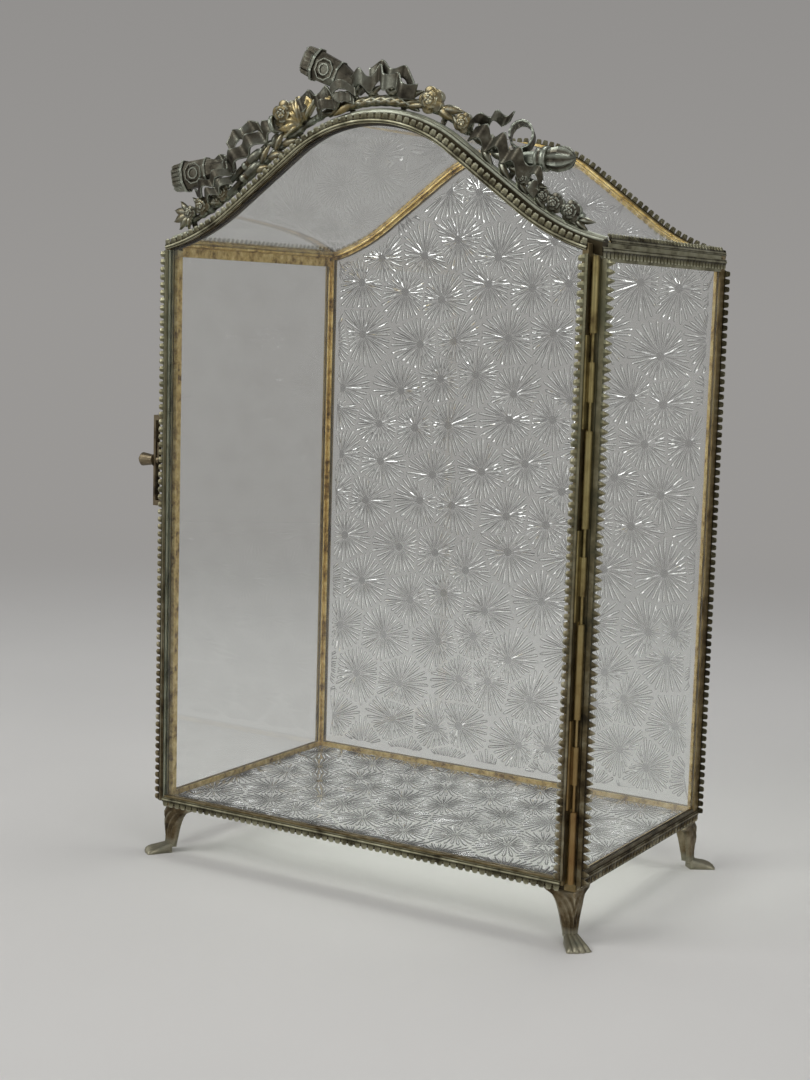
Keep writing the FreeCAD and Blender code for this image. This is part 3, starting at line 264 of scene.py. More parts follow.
def outward(mesh, smooth=None):
    """Close a mesh's seams, turn its faces outward and mark how far each point stands proud (wear and painted
    highlight on edges, painted shade in hollows).
    """
    shell = bmesh.new()
    shell.from_mesh(mesh)
    bmesh.ops.remove_doubles(shell, verts=shell.verts, dist=SEAM)
    bmesh.ops.recalc_face_normals(shell, faces=shell.faces)
    layer = shell.verts.layers.float.get("wear") or shell.verts.layers.float.new("wear")
    shell.normal_update()
    for vert in shell.verts:
        steps = [edge.other_vert(vert).co - vert.co for edge in vert.link_edges]
        if steps and vert[layer] == 0.0:
            reach = sum(step.length for step in steps) / len(steps)
            proud = -sum(step.dot(vert.normal) for step in steps) / len(steps) / max(reach, 1e-9)
            vert[layer] = min(1.0, max(0.001, 0.5 + WEAR_GAIN * proud))
    for face in shell.faces:
        face.smooth = face.smooth if smooth is None else smooth
    shell.to_mesh(mesh)
    shell.free()


def mesh_from(name, points, faces, edges=(), **marks):
    """Mesh from points in millimetres, with a value for every point under each mark's name."""
    mesh = bpy.data.meshes.new(name)
    mesh.from_pydata([Vector(point) * MM for point in points], edges, faces)
    for label, values in marks.items():
        mesh.attributes.new(label, "FLOAT", "POINT").data.foreach_set("value", values)
    return mesh


def add_piece(name, mesh, material, body, slot, *replaced):
    if not mesh.materials:
        mesh.materials.append(material)
    piece = stand(name, mesh)
    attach(piece, body)
    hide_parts(*replaced)


def slab_faces(rows, columns, start=0):
    """Faces of two equal grids of points, one after the other, joined along their border."""
    shift = rows * columns
    faces = []
    for corner in (start, start + shift):
        for row in range(rows - 1):
            for here in range(corner + row * columns, corner + (row + 1) * columns - 1):
                faces.append((here, here + 1, here + columns + 1, here + columns))
    last = shift - columns
    rim = [*range(columns), *range(2 * columns - 1, shift, columns), *range(shift - 2, last - 1, -1),
           *range(last - columns, 0, -columns)]
    for here, beside in zip(rim, rim[1:] + rim[:1]):
        faces.append((start + here, start + beside, start + beside + shift, start + here + shift))
    return faces


def leg_points():
    """Bracket as inward distances from the corner's two faces and a height, outer wall then inner wall."""
    outer, inner = [], []
    for height, arm, swell in LEG_ROWS:
        for step in range(LEG_STEPS + 1):
            share = 2.0 * step / LEG_STEPS - 1.0
            run = arm * share
            vein = LEG_RIBS * math.pi * abs(share) - VEIN_CLIMB * max(0.0, height - VEIN_START)
            ribs = VEIN_DEPTH * math.cos(vein) * (1.0 - 0.5 * abs(share))
            bulge = swell * (1.0 - share * share) + ribs * min(1.0, (FOOT_HEIGHT - height) / VEIN_FADE)
            bend = math.sqrt(run * run + 4.0 * CORNER_ROUND ** 2)
            u, v = (bend - run) / 2.0, (bend + run) / 2.0
            outer.append((u - BULGE_SHARE * bulge, v - BULGE_SHARE * bulge, height))
            inner.append((u + LEG_WALL, v + LEG_WALL, height))
    return outer + inner


def paw_points():
    """Wedge from the ankle to blunt toes in the same terms, first its back and then its sole."""
    back = []
    for share, crown in PAW_ROWS:
        width = ANKLE_HALF_WIDTH + (PAW_HALF_WIDTH - ANKLE_HALF_WIDTH) * share
        for step in range(PAW_STEPS + 1):
            across = 2.0 * step / PAW_STEPS - 1.0
            toe = abs(math.sin(PAW_TOES * math.pi * (across + 1.0) / 2.0)) ** TOE_ROUND
            reach = PAW_REACH + PAW_ROOT - TOE_NOTCH * (1.0 - toe) - TOE_SWEEP * across * across
            along = -PAW_ROOT + reach * share
            groove = PAW_GROOVE * (1.0 - toe) * min(1.0, share / 0.5)
            lift = max(PAW_EDGE, crown * (1.0 - PAW_ARCH * across ** 4) - groove)
            side = across * width
            back.append(((side - along) * DIAGONAL, (-side - along) * DIAGONAL, lift))
    return back + [(u, v, 0.0) for u, v, _ in back]


foot_bronze = aged_metal("foot_bronze", (0.045, 0.032, 0.018), (0.155, 0.115, 0.062), (0.46, 0.42, 0.30),
                         patch=90.0)
tint_by_height(foot_bronze, *PAW_RUB, 0.5, 0.0, RUBBED_BRONZE)
leg, paw = leg_points(), paw_points()
foot_faces = slab_faces(len(LEG_ROWS), LEG_STEPS + 1)
foot_faces += slab_faces(len(PAW_ROWS), PAW_STEPS + 1, len(leg))
for foot_name, side_x, side_y in (("foot_front_right", 1, -1), ("foot_front_left", -1, -1),
                                  ("foot_back_right", 1, 1), ("foot_back_left", -1, 1)):
    placed = [(side_x * (HALF - u), side_y * (CASE_BACK - v), z) for u, v, z in leg + paw]
    mesh = mesh_from(foot_name, placed, foot_faces)
    outward(mesh, True)
    add_piece(foot_name + "_cast", mesh, foot_bronze, "case", "foot_metal", foot_name)

# Frame: base rails, corner posts, eave rails and arch rails folded from brass sheet round the glass.
# Outside the brass is tarnished olive and brown, pale at the soldered front corners; inside it is gold.
INSIDE_X, INSIDE_FRONT, INSIDE_BACK, INSIDE_FLOOR = 0.1329, -0.0826, 0.0783, 0.0332
SOLDER_SPOT, SOLDER_NEAR, SOLDER_FAR = (0.137, -0.0824, 0.362), 0.004, 0.012
SOLDER_GREY, SOLDER_COVER = (0.42, 0.45, 0.35, 1.0), 0.8
FLECK_SCALE, FLECK_STOPS = 160.0, (0.36, 0.48, 0.66)
GOLD = ((0.18, 0.105, 0.03), (0.58, 0.41, 0.14), (0.84, 0.69, 0.34))


def frame_metal(name, dark, body, bright, *golds):
    """Old metal whose faces inside the case have their own golds, from dark to bright."""
    metal = aged_metal(name, dark, body, bright, patch=70.0, worn=False)
    tree = metal.node_tree
    x, y, z = place_axes(tree)
    within = math_node(tree, "LESS_THAN", math_node(tree, "ABSOLUTE", x), INSIDE_X)
    for test, value, limit in (("GREATER_THAN", y, INSIDE_FRONT), ("LESS_THAN", y, INSIDE_BACK),
                               ("GREATER_THAN", z, INSIDE_FLOOR)):
        within = math_node(tree, "MULTIPLY", within, math_node(tree, test, value, limit))
    flecks = noise(tree, object_place(tree), FLECK_SCALE, 6.0, 0.7)
    tint(metal, within, ramp(tree, flecks, list(zip(FLECK_STOPS, golds))))
    return metal


def dress(material, *names):
    for name in names:
        mesh = nodes[name].data
        mesh.materials.clear()
        mesh.materials.append(material)


frame_brass = frame_metal("frame_brass", (0.075, 0.05, 0.022), (0.25, 0.185, 0.085), (0.46, 0.40, 0.24),
                          *GOLD)
tree = frame_brass.node_tree
x, y, z = place_axes(tree)
spot = put(tree, "ShaderNodeCombineXYZ", {0: math_node(tree, "ABSOLUTE", x), 1: y, 2: z}).outputs[0]
away = put(tree, "ShaderNodeVectorMath", {0: spot, 1: SOLDER_SPOT}, operation="DISTANCE").outputs["Value"]
tint(frame_brass, remap(tree, away, SOLDER_NEAR, SOLDER_FAR, SOLDER_COVER, 0.0), SOLDER_GREY)
dress(frame_brass, "base_rail_left", "base_rail_back", "post_front_left", "post_front_right",
      "post_back_left", "post_back_right", "back_arch_rail")
# Right base rail is darker than the rest of the frame: painted shade below the side's toothed strip.
right_base_painted_shade = frame_metal("right_base_painted_shade", (0.03, 0.024, 0.014), (0.10, 0.08, 0.045), (0.24, 0.21, 0.13), *GOLD)
dress(right_base_painted_shade, "base_rail_right")
eave_brass = frame_metal("eave_brass", (0.11, 0.10, 0.06), (0.33, 0.32, 0.21), (0.56, 0.57, 0.43), *GOLD)
dress(eave_brass, "eave_rail_left", "eave_rail_right")
# Front arch rail and front base rail are near black: painted shade for the dark gaps between the door's
# teeth.
front_rails_painted_shade = aged_metal("front_rails_painted_shade", (0.02, 0.016, 0.01), (0.06, 0.048, 0.026), (0.16, 0.14, 0.08),
                        worn=False)
dress(front_rails_painted_shade, "front_arch_rail", "base_rail_front")

# Floor pane and back pane: rolled glass pressed with starbursts. Every star has a plain middle and
# narrow ridges that run out to its neighbours; the other face of the pane is flat.
FLOOR, SPRING, GLASS, PANE_EDGE = 33.0, 363.0, 2.5, 5.0
CROWN_RADIUS, FLANK, EAVE_RADIUS, EAVE = 87.0, math.radians(36.0), 120.0, math.radians(13.0)
EAVE_CENTRE = (HALF + EAVE_RADIUS * math.sin(EAVE), SPRING + EAVE_RADIUS * math.cos(EAVE))
CROWN_END = CROWN_RADIUS * math.sin(FLANK)
FLANK_RUN = HALF - CROWN_END - EAVE_RADIUS * (math.sin(FLANK) - math.sin(EAVE))
CROWN_CENTRE = (SPRING + EAVE_RADIUS * (math.cos(EAVE) - math.cos(FLANK)) + FLANK_RUN * math.tan(FLANK)
                - CROWN_RADIUS * math.cos(FLANK))
CROWN_LENGTH, FLANK_LENGTH = CROWN_RADIUS * FLANK, FLANK_RUN / math.cos(FLANK)
RIM_HALF = CROWN_LENGTH + FLANK_LENGTH + EAVE_RADIUS * (FLANK - EAVE)
STAR_PITCH, STAR_ROW_SHARE, STAR_SCATTER, STAR_ARMS = 32.0, 0.87, 0.26, 15
STAR_CENTRE, SHORT_START, STAR_REACH, NEIGHBOUR_REACH = 2.6, 7.5, 0.72, 2.6
ARM_WOBBLE, TIP_GAP = 0.022, (0.2, 1.0)
RIDGE_HEIGHT, RIDGE_HALF, RIDGE_FILL, INNER_FILL, RIDGE_LEAST, RIDGE_KEPT = 0.75, 1.05, 0.36, 1.5, 2.5, 3.0
RIDGE_STATIONS = ((0.0, 0.3, 1.0), (0.42, 0.85, 1.0), (0.8, 1.0, 1.0), (0.96, 0.85, 0.75))
BACK_MARGIN, BACK_FOOT_MARGIN, FLOOR_MARGIN = 10.0, 9.0, 1.5
RIPPLE_SCALE, RIPPLE_DEPTH = 14.0, 0.002
DUST_FILM, DUST_COLOUR, GLASS_SHADOW = (0.42, 0.78), (0.86, 0.86, 0.84, 1.0), (0.94, 0.95, 0.94, 1.0)
# Span of the ridge mark whitened as dust and painted highlight; darkness of the painted shade tint on ridge
# flanks.
RIDGE_SPINE, FLANK_PAINTED_SHADE = (0.45, 0.9), 0.3


def rim_point(length, rise):
    """Place on the ogee rim at a length from the crown, lifted by rise, and the slope there."""
    side = 1.0 if length >= 0.0 else -1.0
    run = abs(length)
    if run <= CROWN_LENGTH + FLANK_LENGTH:
        angle = min(FLANK, run / CROWN_RADIUS)
        along = max(0.0, run - CROWN_LENGTH)
        x = (CROWN_RADIUS + rise) * math.sin(angle) + along * math.cos(angle)
        z = CROWN_CENTRE + (CROWN_RADIUS + rise) * math.cos(angle) - along * math.sin(angle)
    else:
        angle = FLANK - (run - CROWN_LENGTH - FLANK_LENGTH) / EAVE_RADIUS
        x = EAVE_CENTRE[0] - (EAVE_RADIUS - rise) * math.sin(angle)
        z = EAVE_CENTRE[1] - (EAVE_RADIUS - rise) * math.cos(angle)
    return side * x, z, -side * angle


def star_centres(low, high, seed):
    draw = random.Random(seed)
    centres = []
    row_pitch = STAR_PITCH * STAR_ROW_SHARE
    for row in range(-1, int((high[1] - low[1]) / row_pitch) + 3):
        for column in range(-1, int((high[0] - low[0]) / STAR_PITCH) + 3):
            a = low[0] + (column + 0.5 * (row % 2)) * STAR_PITCH
            a += draw.uniform(-STAR_SCATTER, STAR_SCATTER) * STAR_PITCH
            b = low[1] + row * row_pitch + draw.uniform(-STAR_SCATTER, STAR_SCATTER) * STAR_PITCH
            centres.append((a, b))
    return centres


def star_ridges(centres, clear, seed):
    """Ridges as a star's middle, a direction, a start and an end, apart and clear of the pane's edges."""
    draw = random.Random(seed)
    ridges = []
    for star, (a, b) in enumerate(centres):
        near = [(c - a, d - b) for other, (c, d) in enumerate(centres)
                if other != star and math.hypot(c - a, d - b) < NEIGHBOUR_REACH * STAR_PITCH]
        turn = draw.uniform(0.0, 1.0)
        for arm in range(2 * STAR_ARMS):
            angle = math.pi * (arm + turn) / STAR_ARMS + draw.uniform(-ARM_WOBBLE, ARM_WOBBLE)
            trim = draw.uniform(*TIP_GAP)
            u, v = math.cos(angle), math.sin(angle)
            end = STAR_REACH * STAR_PITCH
            for c, d in near:
                facing = c * u + d * v
                if facing > 1e-6:
                    end = min(end, (c * c + d * d) / (2.0 * facing))
            end -= trim
            start = STAR_CENTRE if arm % 2 == 0 else SHORT_START
            while end > start + RIDGE_LEAST and not clear(a + u * end, b + v * end):
                end -= 1.0
            while end > start + RIDGE_LEAST and not clear(a + u * start, b + v * start):
                start += 1.0
            if end > start + RIDGE_KEPT:
                ridges.append((a, b, u, v, start, end))
    return ridges


def star_pane(name, edge, clear, place, seed):
    """Pane with one relief face; place gives the point for two coordinates and a depth from that face."""
    low = [min(p[axis] for p in edge) for axis in (0, 1)]
    high = [max(p[axis] for p in edge) for axis in (0, 1)]
    count = len(edge)
    spots, lifts = [Vector(p) for p in edge], [0.0] * count
    chains = [(i, (i + 1) % count) for i in range(count)]
    for a, b, u, v, start, end in star_ridges(star_centres(low, high, seed), clear, seed + 1):
        first = len(spots)
        for share, height, taper in RIDGE_STATIONS:
            r = start + (end - start) * share
            half = RIDGE_FILL * math.pi * r / STAR_ARMS * (INNER_FILL if r < SHORT_START else 1.0)
            half = min(half, RIDGE_HALF) * taper
            for across, lift in ((half, 0.0), (0.0, height * RIDGE_HEIGHT), (-half, 0.0)):
                spots.append(Vector((a + u * r - v * across, b + v * r + u * across)))
                lifts.append(lift)
        tip = len(spots)
        spots.append(Vector((a + u * end, b + v * end)))
        lifts.append(0.0)
        for left in range(first, tip, 3):
            chains += [(left, left + 1), (left + 1, left + 2)]
            chains += [(point, min(point + 3, tip)) for point in range(left, left + 3)]
    flat, _, faces, origins, _, _ = delaunay_2d_cdt(spots, chains, [], 1, 1e-5)
    heights = [max((lifts[source] for source in sources), default=0.0) for sources in origins]
    home = {source: index for index, sources in enumerate(origins) for source in sources}
    points = [place(spot.x, spot.y, RIDGE_HEIGHT - height) for spot, height in zip(flat, heights)]
    start = len(points)
    points += [place(a, b, GLASS) for a, b in edge]
    faces = [tuple(face) for face in faces]
    faces += [(home[i], home[(i + 1) % count], start + (i + 1) % count, start + i) for i in range(count)]
    faces.append(tuple(range(start, start + count)))
    mesh = mesh_from(name, points, faces, ridge=[height / RIDGE_HEIGHT for height in heights] + [0.0] * count)
    shell = bmesh.new()
    shell.from_mesh(mesh)
    bmesh.ops.recalc_face_normals(shell, faces=shell.faces)
    shell.to_mesh(mesh)
    shell.free()
    return mesh


def pane_glass(name, colour, dust, dust_scale, ripple=0.0, ridge_dust_and_highlight=0.0, streak=(1.0, 1.0, 1.0)):
    """Old glass: clear, with an uneven film of dust; ridges have flanks darkened as painted shade and a spine
    whitened by dust and a painted highlight.
    """
    glass, tree = blank_material(name)
    place = object_place(tree)
    drawn = put(tree, "ShaderNodeMapping", {"Vector": place, "Scale": streak}).outputs[0]
    cover = remap(tree, noise(tree, drawn, dust_scale, 8.0, 0.68), *DUST_FILM, *dust)
    sockets = {"Base Color": (*colour, 1.0), "Roughness": 0.0, "IOR": 1.5, "Transmission Weight": 1.0}
    if ridge_dust_and_highlight:
        # Painted light on ridges: extra white film on the spine, for dust and as a painted highlight; a
        # darker tint on the flanks, painted shade.
        ridge = put(tree, "ShaderNodeAttribute", attribute_name="ridge").outputs["Fac"]
        cover = math_node(tree, "ADD", cover, remap(tree, ridge, *RIDGE_SPINE, 0.0, ridge_dust_and_highlight))
        painted_flank_shade = [FLANK_PAINTED_SHADE * c for c in colour]
        sockets["Base Color"] = ramp(tree, ridge, [(0.0, colour), (0.1, painted_flank_shade), (0.42, painted_flank_shade), (0.6, colour)])
    if ripple:
        swell = noise(tree, place, RIPPLE_SCALE, 1.0)
        sockets["Normal"] = put(tree, "ShaderNodeBump", {"Height": swell, "Strength": ripple,
                                                         "Distance": RIPPLE_DEPTH}).outputs["Normal"]
    body = put(tree, "ShaderNodeBsdfPrincipled", sockets)
    film = put(tree, "ShaderNodeBsdfDiffuse", {"Color": DUST_COLOUR})
    dusty = mix_shaders(tree, cover, body, film)
    light_through = put(tree, "ShaderNodeBsdfTransparent", {"Color": GLASS_SHADOW})
    shadow = put(tree, "ShaderNodeLightPath").outputs["Is Shadow Ray"]
    surface = mix_shaders(tree, shadow, dusty, light_through)
    put(tree, "ShaderNodeOutputMaterial", {"Surface": surface.outputs[0]})
    return glass


def arch_outline(offset, foot, half_width, step):
    """Outline under the rim, as x and z, from the lower left corner anticlockwise."""
    line = [(-half_width, foot), (half_width, foot)]
    count = int(2.0 * RIM_HALF / step)
    for index in range(count + 1):
        x, z, _ = rim_point(RIM_HALF - 2.0 * RIM_HALF * index / count, offset)
        if abs(x) < half_width - 0.5:
            line.append((x, z))
    right = [p for p in line[2:] if p[0] > 0][0]
    line.insert(2, (half_width, right[1] - (half_width - right[0]) * math.tan(EAVE)))
    line.append((-half_width, line[2][1]))
    return line


def under_arch(x, z, offset):
    """True where a point lies under the rim moved inward by offset."""
    x = abs(x)
    if x < CROWN_END:
        return z < CROWN_CENTRE + math.sqrt((CROWN_RADIUS - offset) ** 2 - x * x)
    if x < CROWN_END + FLANK_RUN:
        drop = (x - CROWN_END) * math.tan(FLANK) + offset / math.cos(FLANK)
        return z < CROWN_CENTRE + CROWN_RADIUS * math.cos(FLANK) - drop
    return z < EAVE_CENTRE[1] - math.sqrt((EAVE_RADIUS + offset) ** 2 - (EAVE_CENTRE[0] - x) ** 2)


star_glass = pane_glass("star_glass", (0.97, 0.98, 0.97), (0.01, 0.05), 26.0, ridge_dust_and_highlight=0.6)
floor_glass = pane_glass("floor_star_glass", (0.95, 0.97, 0.95), (0.02, 0.10), 30.0, ridge_dust_and_highlight=0.5)
back_high = Vector(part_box("back_pane")[1]) / MM
back_edge = arch_outline(-PANE_EDGE, FLOOR, HALF - PANE_EDGE, 7.0)
back_mesh = star_pane("back_pane", back_edge,
                      lambda a, b: (abs(a) < HALF - BACK_MARGIN and b > FLOOR + BACK_FOOT_MARGIN
                                    and under_arch(a, b, BACK_MARGIN)),
                      lambda a, b, depth: (a, back_high.y - depth, b), 11)
add_piece("back_star_pane", back_mesh, star_glass, "case", "patterned_glass", "back_pane")
floor_low, floor_high = (Vector(corner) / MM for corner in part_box("floor_pane"))
floor_edge = [(floor_low.x, floor_low.y), (floor_high.x, floor_low.y), (floor_high.x, floor_high.y),
              (floor_low.x, floor_high.y)]
floor_mesh = star_pane("floor_pane", floor_edge,
                       lambda a, b: (abs(a) < floor_high.x - FLOOR_MARGIN
                                     and floor_low.y + FLOOR_MARGIN < b < floor_high.y - FLOOR_MARGIN),
                       lambda a, b, depth: (a, b, floor_high.z - depth), 23)
add_piece("floor_star_pane", floor_mesh, floor_glass, "case", "patterned_glass", "floor_pane")

# Clear panes: two flat side panes and the roof, one sheet bent to the ogee. Old drawn glass, a
# little wavy, with dust lying on the roof. They slide in the folded slots of the frame.
side_glass = pane_glass("side_glass", (0.975, 0.985, 0.975), (0.0, 0.022), 9.0, ripple=0.05)
roof_glass = pane_glass("roof_glass", (0.97, 0.98, 0.97), (0.01, 0.12), 16.0, ripple=0.06,
                        streak=(1.0, 0.35, 1.0))
dress(side_glass, "left_pane", "right_pane")
dress(roof_glass, "roof_pane")

# Toothed edging on the fixed frame: thin brass gallery strip, a rolled bead with a row of blunt teeth,
# pointed beside the hinge. Soldered along posts, base, eaves and back; bead and tooth ends are pale, for wear
# and as a painted highlight, with painted shade in the bead's groove and at the tooth roots.
PATINA_RISE, GREEN_PATINA = (0.10, 0.34), (0.30, 0.31, 0.20)
TOOTH_PITCH, TOOTH_LENGTH, STRIP_BAND, POST_BAND, TUBE = 4.4, 3.1, 2.4, 3.6, 1.8
TOOTH_ROWS = [(-0.4, 2.05, 0.8, 0.5), (0.7, 1.78, 0.9, 0.5), (1.7, 1.55, 1.1, 0.55),
              (2.5, 1.45, 1.15, 0.6), (TOOTH_LENGTH, 1.0, 0.8, 0.45)]
LONG_TOOTH_ROWS = [(-0.4, 2.05, 0.8, 0.5), (1.0, 1.8, 0.9, 0.5), (2.4, 1.6, 1.1, 0.55),
                   (3.3, 1.4, 1.15, 0.6), (4.0, 1.0, 0.8, 0.45)]
WEDGE_ROWS = [(-0.4, 2.1, 0.8, 0.5), (0.8, 1.7, 0.95, 0.5), (2.2, 1.15, 1.05, 0.5), (3.4, 0.6, 0.9, 0.4),
              (4.0, 0.25, 0.6, 0.3)]
# Third value of each point is its mark: high on the bead's crown for wear and painted highlight, low in the
# groove as painted shade.
BEAD_LINE = [(0.0, -0.3, 0.1), (0.6, -0.3, 0.2), (0.5, 0.2, 0.05), (0.9, 0.5, 0.5), (1.1, 1.0, 0.66),
             (0.9, 1.5, 0.5), (0.5, 1.75, 0.08), (0.7, 2.0, 0.5), (0.7, STRIP_BAND, 0.5),
             (0.0, STRIP_BAND, 0.2)]
POST_LINE = [(0.0, -0.3, 0.1), (0.6, -0.3, 0.2), (0.5, 0.2, 0.05), (0.8, 0.5, 0.56),
             (0.8, POST_BAND - 0.6, 0.5), (0.55, POST_BAND - 0.5, 0.1), (0.55, POST_BAND - 0.2, 0.1),
             (0.8, POST_BAND - 0.1, 0.45), (0.8, POST_BAND + 2 * TUBE, 0.5), (0.0, POST_BAND + 2 * TUBE, 0.2)]


def strip_tree():
    """Sweep a bead along a path and set teeth along it: X of a tooth follows the path, Z faces out."""
    tree = bpy.data.node_groups.new("toothed_strip", "GeometryNodeTree")
    for label, kind in (("Path", "Geometry"), ("Tooth", "Object"), ("Bead", "Object"), ("Teeth", "Int"),
                        ("Out", "Vector"), ("Metal", "Material")):
        tree.interface.new_socket(label, in_out="INPUT", socket_type="NodeSocket" + kind)
    tree.interface.new_socket("Strip", in_out="OUTPUT", socket_type="NodeSocketGeometry")
    given = put(tree, "NodeGroupInput").outputs
    path = put(tree, "GeometryNodeMeshToCurve", {0: given["Path"]}).outputs[0]
    faced = put(tree, "GeometryNodeSetCurveNormal", {"Curve": path, "Normal": given["Out"]}, mode="FREE")
    bead = put(tree, "GeometryNodeObjectInfo", {"Object": given["Bead"]}).outputs["Geometry"]
    profile = put(tree, "GeometryNodeMeshToCurve", {0: bead}).outputs[0]
    sweep = put(tree, "GeometryNodeCurveToMesh", {"Curve": faced.outputs[0], "Profile Curve": profile,
                                                  "Fill Caps": True})
    number = put(tree, "GeometryNodeInputIndex").outputs[0]
    share = math_node(tree, "DIVIDE", math_node(tree, "ADD", number, 0.5), given["Teeth"])
    seat = put(tree, "GeometryNodeSampleCurve", {"Curves": path, "Factor": share}, mode="FACTOR",
               use_all_curves=True)
    seats = put(tree, "GeometryNodePoints", {"Count": given["Teeth"], "Position": seat.outputs["Position"]})
    turn = put(tree, "FunctionNodeAxesToRotation", {0: seat.outputs["Tangent"], 1: given["Out"]},
               primary_axis="X", secondary_axis="Z")
    tooth = put(tree, "GeometryNodeObjectInfo", {"Object": given["Tooth"]}).outputs["Geometry"]
    row = put(tree, "GeometryNodeInstanceOnPoints", {"Points": seats.outputs[0], "Instance": tooth,
                                                     "Rotation": turn.outputs[0]})
    whole = put(tree, "GeometryNodeJoinGeometry")
    tree.links.new(sweep.outputs[0], whole.inputs[0])
    tree.links.new(row.outputs[0], whole.inputs[0])
    solid = put(tree, "GeometryNodeRealizeInstances", {0: whole.outputs[0]})
    coated = put(tree, "GeometryNodeSetMaterial", {"Geometry": solid.outputs[0], "Material": given["Metal"]})
    put(tree, "NodeGroupOutput", {0: coated.outputs[0]})
    return tree


def skin_rings(rings):
    """Closed shell through rings of points with equal counts."""
    count = len(rings[0])
    points = [point for ring in rings for point in ring]
    faces = []
    for row in range(len(rings) - 1):
        for k in range(count):
            here, beside = row * count + k, row * count + (k + 1) % count
            faces.append((here, beside, beside + count, here + count))
    last = count * (len(rings) - 1)
    faces += [tuple(range(count)), tuple(range(last, last + count))]
    return points, faces


def tooth_shape(name, rows):
    """Tooth with a crowned face from rows of a place, a half width, a crown and an edge height."""
    rings, wear = [], []
    for along, half, crown, edge in rows:
        rings.append([(-half, along, edge), (0.0, along, crown), (half, along, edge), (half, along, 0.0),
                      (-half, along, 0.0)])
        # Painted highlight: the mark rises towards the tip so tooth ends read pale; the root and the base
        # stay low as painted shade.
        painted_light = 0.3 + 0.7 * max(0.0, along) / rows[-1][0]
        wear += [0.8 * painted_light, 0.75 * painted_light, 0.8 * painted_light, 0.3, 0.3]
    return stand(name, mesh_from(name, *skin_rings(rings), wear=wear))


def profile_shape(name, line):
    """Closed section of a strip from points as two coordinates and a mark: wear and painted highlight where
    high, painted shade where low.
    """
    points = [(a, b, 0.0) for a, b, _ in line]
    edges = [(index, (index + 1) % len(line)) for index in range(len(line))]
    return stand(name, mesh_from(name, points, [], edges, wear=[wear for _, _, wear in line]))


toothed_strip = strip_tree()
edging_tooth = tooth_shape("edging_tooth", TOOTH_ROWS)
long_tooth = tooth_shape("long_tooth", LONG_TOOTH_ROWS)
wedge_tooth = tooth_shape("wedge_tooth", WEDGE_ROWS)
edging_bead = profile_shape("edging_bead", BEAD_LINE)
post_bead = profile_shape("post_bead", POST_LINE)
edging_brass = aged_metal("edging_brass", (0.03, 0.022, 0.012), (0.14, 0.108, 0.055), (0.56, 0.54, 0.40),
                          patch=80.0)
tint_by_height(edging_brass, *PATINA_RISE, 0.0, 0.45, GREEN_PATINA)
# Pale copy of the edging brass: pale metal on the front strips, and painted light on the back strips, which
# lie in shade.
edging_pale_and_painted_light = aged_metal("edging_pale_and_painted_light", (0.05, 0.042, 0.024), (0.26, 0.245, 0.155), (0.64, 0.64, 0.49),
                         patch=80.0)


def grow_strip(name, line, teeth, out, tooth, bead, pitch, metal):
    """Run the tree along a line of points, turned so that the teeth point the given way."""
    first = Vector(line[1]) - Vector(line[0])
    if Vector(out).cross(first).dot(Vector(teeth)) < 0.0:
        line = line[::-1]
    length = sum((Vector(b) - Vector(a)).length for a, b in zip(line, line[1:]))
    path = mesh_from(name, line, [], [(i, i + 1) for i in range(len(line) - 1)])
    holder = stand(name + "_path", path)
    grower = holder.modifiers.new("toothed_strip", "NODES")
    grower.node_group = toothed_strip
    sockets = {item.name: item.identifier for item in toothed_strip.interface.items_tree}
    for label, value in (("Tooth", tooth), ("Bead", bead), ("Teeth", max(1, round(length / pitch))),
                         ("Out", tuple(float(c) for c in out)), ("Metal", metal)):
        grower[sockets[label]] = value
    bpy.context.view_layer.update()
    graph = bpy.context.evaluated_depsgraph_get()
    mesh = bpy.data.meshes.new_from_object(holder.evaluated_get(graph))
    mesh.name = name
    holder.modifiers.remove(grower)
    bpy.data.objects.remove(holder)
    outward(mesh, False)
    return mesh


RIGHT, BACK, UP = (1, 0, 0), (0, 1, 0), (0, 0, 1)
LEFT, FRONT, DOWN = (-1, 0, 0), (0, -1, 0), (0, 0, -1)
LEG, EAVE_SLOT, STRIP_GAP = 6.5, 4.5, 0.3
ROOF_STRIP_LEAN, ROOF_STRIP_SEAT, LEFT_POST_INSET = math.radians(58.0), 0.13, 2.25
# The listed strips take the darker edging brass; all others the pale copy, which lightens the back strips in
# shade as painted light.
DARK_STRIPS = ("edging_post_right", "edging_post_left", "edging_base_right", "door_edging_left",
               "door_edging_hinge")
SPECIAL_TEETH = {"edging_post_right": wedge_tooth, "door_edging_hinge": long_tooth}
LEFT_POST_LINE = -CASE_BACK + LEFT_POST_INSET + STRIP_BAND
STRIP_TOP = SPRING - EAVE_SLOT - TOOTH_LENGTH - STRIP_GAP
FLUTE_BAND, SCALLOP = 7.0, 2.6
ROOF_START = -CASE_BACK + FLUTE_BAND + SCALLOP + STRIP_GAP
roof_up = (-math.cos(ROOF_STRIP_LEAN), 0.0, math.sin(ROOF_STRIP_LEAN))
roof_out = (math.sin(ROOF_STRIP_LEAN), 0.0, math.cos(ROOF_STRIP_LEAN))
roof_x = HALF + STRIP_BAND * roof_up[0] + ROOF_STRIP_SEAT * roof_out[0]
roof_z = SPRING + STRIP_BAND * roof_up[2] + ROOF_STRIP_SEAT * roof_out[2]


def rim_line(start, end, rise, y, steps=96):
    line = []
    for index in range(steps + 1):
        x, z, _ = rim_point(start + (end - start) * index / steps, rise)
        line.append((x, y, z))
    return line


def side_line(x, z, start=-CASE_BACK):
    return [(x, start, z), (x, CASE_BACK, z)]


def post_line(x, y, foot=FLOOR):
    return [(x, y, foot), (x, y, STRIP_TOP)]


def lay_strip(name, line, teeth, out, body="case", bead=edging_bead):
    metal = edging_brass if name in DARK_STRIPS else edging_pale_and_painted_light
    tooth = SPECIAL_TEETH.get(name, edging_tooth)
    mesh = grow_strip(name, line, teeth, out, tooth, bead, TOOTH_PITCH, metal)
    add_piece(name + "_strip", mesh, metal, body, "edging_brass", name)


